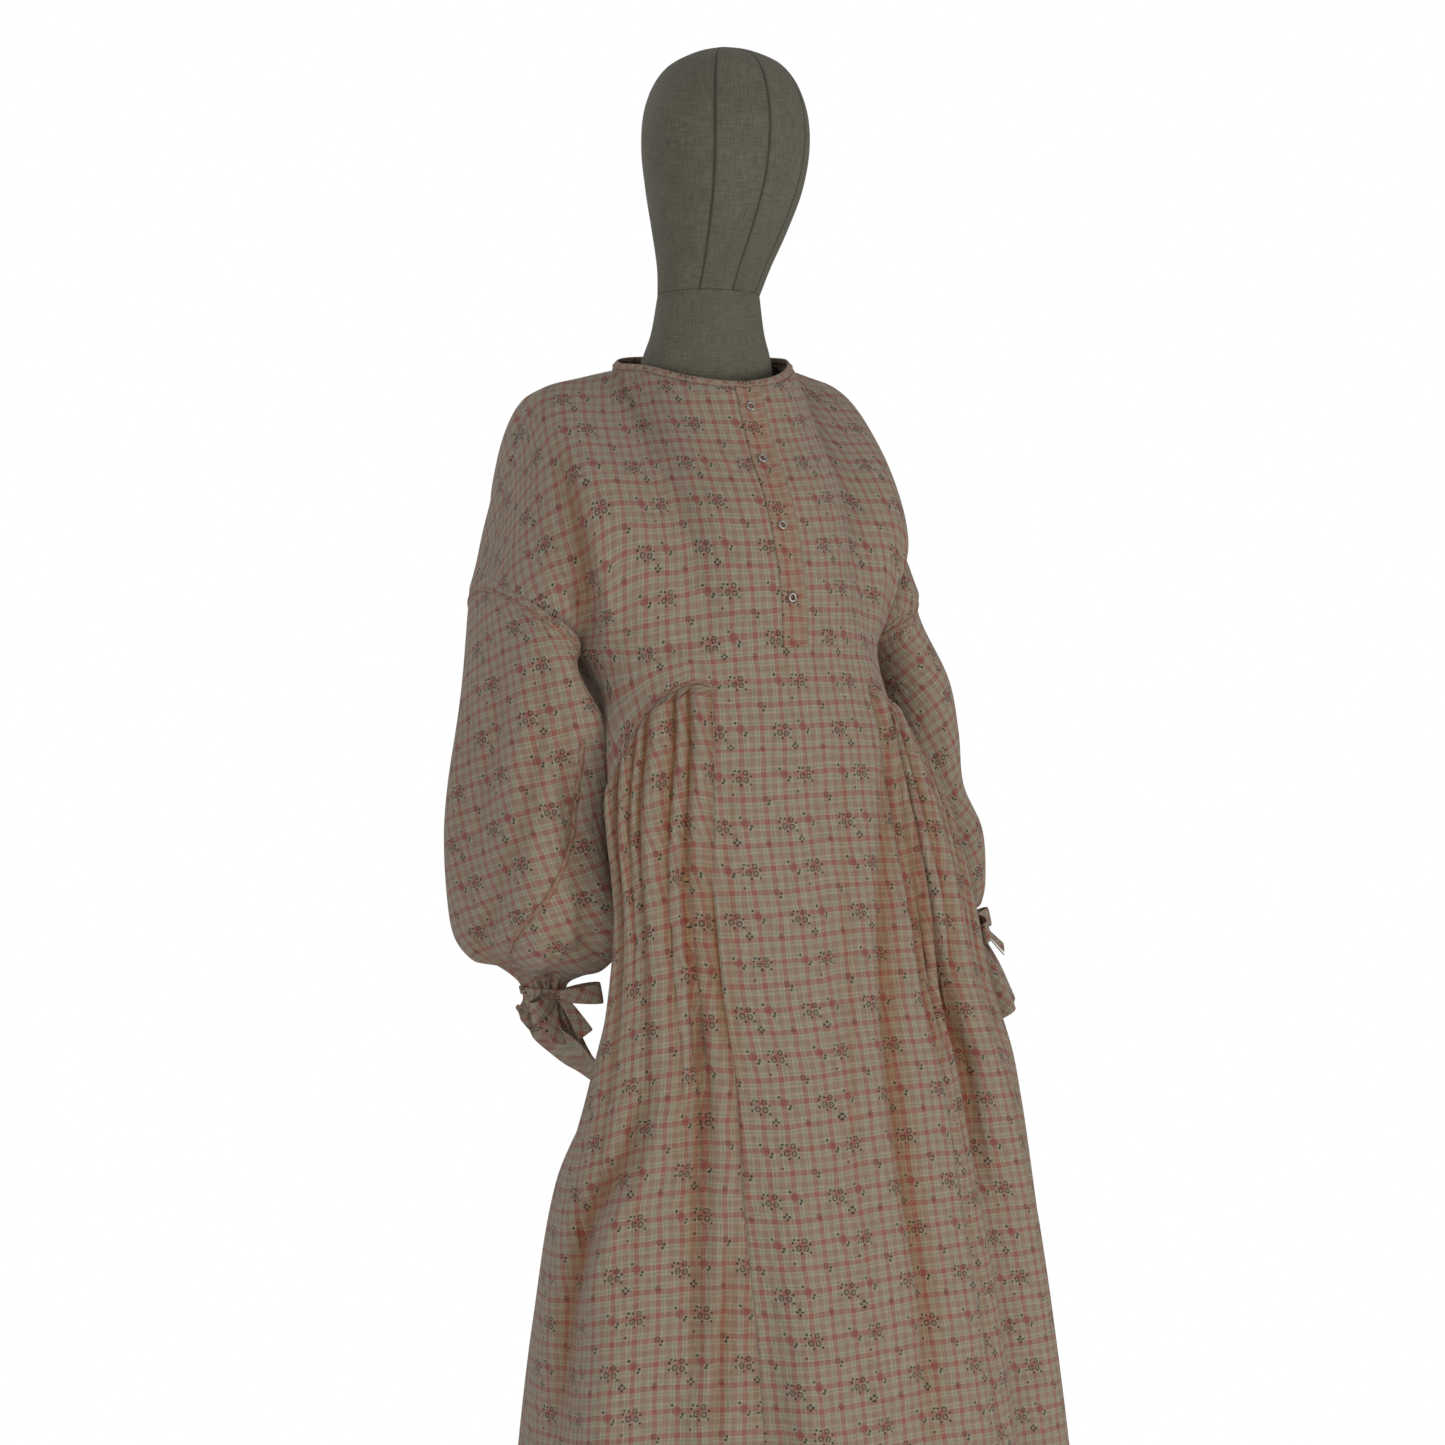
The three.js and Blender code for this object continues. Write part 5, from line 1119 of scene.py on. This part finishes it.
# Ties at the wrists
# Each tie is a narrow strip of the same gauze, stitched down behind the wrist, wound once round it
# and tied in a bow.
BAND_LEVELS = np.array([-1.0, -0.74, -0.5, -0.26, 0])     # of the sleeve, from the last ring before the cuff
BAND = [
    # way across the band in metres, level, how far it stands off the sleeve
    (0, 1, 1.2), (0.0012, 1, 2.3), (0.0052, 2, 2.7), (0.0092, 3, 2.3), (0.0104, 3, 1.2)]
LOOP = {"long": 44, "half": 8, "rise": 7, "sag": 7, "foot": 2}     # millimetres of a bow's loop
TAIL = {"long": 40, "aside": 15, "out": 20.8}
TIE_WIDE, CUPPED = 22, 1.6    # width of the strip, and how far its middle bows out
KNOT = (6.4, 6.8, 4.6)        # half sizes of the knot along the wrist, up and out


def ribbon(name, path, widths, cup, across):
    """A strip of tie cloth along a path of places along, out and up from the knot."""
    edges = np.linspace(-0.5, 0.5, 7)
    middle = knot + path @ np.array([along, out, up])
    points = np.array([middle + out * (CUPPED * cup * (1 - (2 * edge) ** 2)) + across * (edge * widths[:, None])
                       for edge in edges])
    run = run_along(points[3]) / 1000
    piece = walled(grid_piece(name, points, (run, edges[:, None] * max(widths) / 1000)), 0.0011, 0)
    smooth = piece.modifiers.new("round", "SUBSURF")
    smooth.levels = smooth.render_levels = 1
    stands_for(piece, "tie_" + side, "cloth", tie_gauze)


for side, place in (("right", 5), ("left", 2)):
    way_out = -1 if side == "right" else 1
    low = len(SLEEVES[side]) - CUFF_ROWS
    around, _ = sleeve_points(side, np.linspace(0, 2 * np.pi, 97), low + BAND_LEVELS)
    normals = unit(closed_normals(around, side))
    band_points = np.array([around[row] + normals[row] * height for _, row, height in BAND])
    run = run_along(around[2]) / 1000
    band_flat = (run, -np.array([[length] for length, _, _ in BAND]))
    tie_gauze = gauze("gauze_of_tie_" + side, (0.003, 0.004, 0), 0.5)
    band = grid_piece("tie_band_" + side, band_points, band_flat, weld=True, flip=side == "right")
    walled(band, 0.0008)
    stands_for(band, "tie_" + side, "cloth", tie_gauze)

    knot_turn = 2 * np.pi * place / 20
    knot_turns = np.linspace(knot_turn - 0.2, knot_turn + 0.2, 5)
    knot_rows, _ = sleeve_points(side, knot_turns, low + BAND_LEVELS[::2])
    out = outward_normals(knot_rows)[1, 2] * -way_out
    high, foot = knot_rows[0, 2], knot_rows[2, 2]
    up = unit(high - foot)
    out = unit(out - up * (out @ up))
    along = np.cross(up, out)
    knot = mix(high, foot, 0.62) + out * 5.2

    for way, letter in ((-1, "a"), (1, "b")):
        spins = np.linspace(0, 2 * np.pi, 33)
        reach = 0.5 - 0.5 * np.cos(spins)
        size = 1.0 if way * way_out < 0 else 0.72
        path = np.stack([way * LOOP["long"] * reach * size,
                         LOOP["half"] * np.sin(spins) * np.sqrt(reach) + LOOP["rise"] * reach + LOOP["foot"],
                         -LOOP["sag"] * reach], -1)
        ribbon(f"tie_loop_{side}_{letter}", path, mix(0.34, 1, np.sqrt(reach)) * TIE_WIDE, 0.4, up)
        shares = np.linspace(0, 1, 15)
        path = np.stack([way * TAIL["aside"] * np.sqrt(shares), 1 + TAIL["out"] * shares ** 1.2,
                         -TAIL["long"] * shares], -1)
        ribbon(f"tie_tail_{side}_{letter}", path, mix(0.36, 0.85, shares) * TIE_WIDE, 0.3,
               along * 0.93 + up * 0.34 * way)

    shape = bmesh.new()
    bmesh.ops.create_icosphere(shape, subdivisions=4, radius=1)
    uv = shape.loops.layers.uv.new("UVMap")
    for corner in shape.verts:
        x, y, z = corner.co
        pinch = 1 + 0.10 * math.sin(9 * math.atan2(y, z)) * (1 - abs(x) ** 3)
        spot = np.array([x, y * pinch, z * pinch]) * KNOT
        corner.co = (knot + spot @ np.array([along, up, out])) / 1000
        for loop in corner.link_loops:
            loop[uv].uv = spot[:2] / 1000
    bmesh.ops.recalc_face_normals(shape, faces=shape.faces)
    for face in shape.faces:
        face.smooth = True
    piece = placed("tie_knot_" + side, shape)
    stands_for(piece, "tie_" + side, "cloth", tie_gauze)

# Neck binding
# A bias strip of the gauze folded over the neckline and stitched through.
BINDING_WIDTH, BINDING_PROFILE = 8, [
    # share up the strip, how far it stands off the neckline
    (0, 0.1), (0.02, 0.9), (0.3, 1.15), (0.7, 1.15), (0.95, 0.75), (1.0, -0.2), (0.95, -1.1), (0.6, -1.6),
    (0.05, -1.6), (0, 0.1)]
neck_front = front[0, first_in:last_in + 1]
neck_back = back[0, (back_columns > 60.01) & (back_columns < 65.99)]
neckline = np.concatenate([neck_front, neck_back, neck_front[:1]])
inward = (neckline[:-1].mean(axis=0) - neckline) * (1, 1, 0)
rise = unit(inward) * 0.6 + np.array([0, 0, 0.8])
off = unit(np.cross(np.gradient(neckline, axis=0), rise))
run = run_along(neckline)
pucker = 0.18 * np.sin(run * 2 * np.pi / 6.5)
strip_points = np.array([
    neckline + rise * BINDING_WIDTH * share + off * (height + np.sign(height) * pucker[:, None])
    for share, height in BINDING_PROFILE])
profile_run = run_along(np.array(BINDING_PROFILE) * (BINDING_WIDTH, 1))
binding = grid_piece("neck_binding_gauze", strip_points, (run / 1000, profile_run[:, None] / 1000), weld=True)
bias_gauze = gauze("gauze_of_binding", (0.0, 0.005, 0), 0.785, (1.02, 0.93, 0.9))
stands_for(binding, "neck_binding", "binding", bias_gauze)
stitch_line = neckline + rise * 1.6 + off * 1.25

# Snap placket
# Two layers of gauze with a stay between them lap at the centre front. The upper layer is stitched
# round its edge and carries four ring snaps.
placket_columns = np.linspace(21, 23, 25)
placket_rows = np.linspace(0, 1, 121)
under, _ = body_rows(placket_columns, placket_rows, np.array([0.0, 0.05]), np.array([0.0, 0.001]), True)
under = under[:len(placket_rows)]
lift = outward_normals(under)
edge_soft = 1 - 0.5 * bell(np.minimum(placket_columns - 21, 23 - placket_columns) / 0.05)
placket_points = under + lift * (1.35 * edge_soft)[None, :, None]
placket_flat = lay_flat(placket_points, straight_seed(placket_points, 12, 0.3), step=3)
placket = walled(grid_piece("placket_gauze", placket_points, placket_flat, flip=True))
placket_gauze = gauze("gauze_of_placket", (0.0045, 0.006, 0), 0.0, (1.05, 0.86, 0.80))
stands_for(placket, "placket", "binding", placket_gauze)

near, far, foot = 2, 22, -4   # grid lines of the stitching beside both edges and above the foot
placket_lines = [(placket_points[:foot + 1, k], lift[:foot + 1, k]) for k in (near, far)]
placket_lines.append((placket_points[foot, near:far + 1], lift[foot, near:far + 1]))
stitches("placket_stitches", placket_lines, "placket", "binding")
stitches("neck_stitches", [(stitch_line, off)], "neck_binding", "binding")

# Ring snaps
# Brass caps with an open ring of prongs, nickel plated and a little dulled, pressed through the placket.
nickel, tree, shader = new_material("dull_nickel", {"Metallic": 1.0})
dull = noise(tree, node(tree, "TexCoord").outputs["Object"], 900, 3)
feed(shader, {"Base Color": blend(tree, dull, (0.42, 0.41, 0.38, 1), (0.62, 0.60, 0.56, 1)),
              "Roughness": node(tree, "MapRange", {0: dull, 3: 0.28, 4: 0.5})})
SNAP_PROFILE = np.array([
    (2.6, 0.0), (2.5, 0.8), (2.8, 1.25), (3.5, 1.5), (4.3, 1.25), (4.7, 0.7), (4.7, 0.0), (3.6, 0.0)]) / 1000
SNAP_SUNK = 0.0007            # metres from the cap's foot to its middle
for number in range(1, 5):
    low_corner, high_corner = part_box(f"snap_{number}")
    centre = (low_corner + high_corner) / 2
    away = np.linalg.norm(under - np.array(centre) * 1000, axis=-1)
    out = Vector(lift[np.unravel_index(np.argmin(away), away.shape)])
    shape = spun(SNAP_PROFILE, 40, SNAP_SUNK, closed=True)
    for face in shape.faces:
        face.smooth = True
    facing = Vector((0, 0, 1)).rotation_difference(out).to_matrix().to_4x4()
    bmesh.ops.transform(shape, matrix=Matrix.Translation(centre) @ facing, verts=shape.verts)
    stands_for(placed(f"ring_snap_{number}", shape), f"snap_{number}", "snap", nickel)
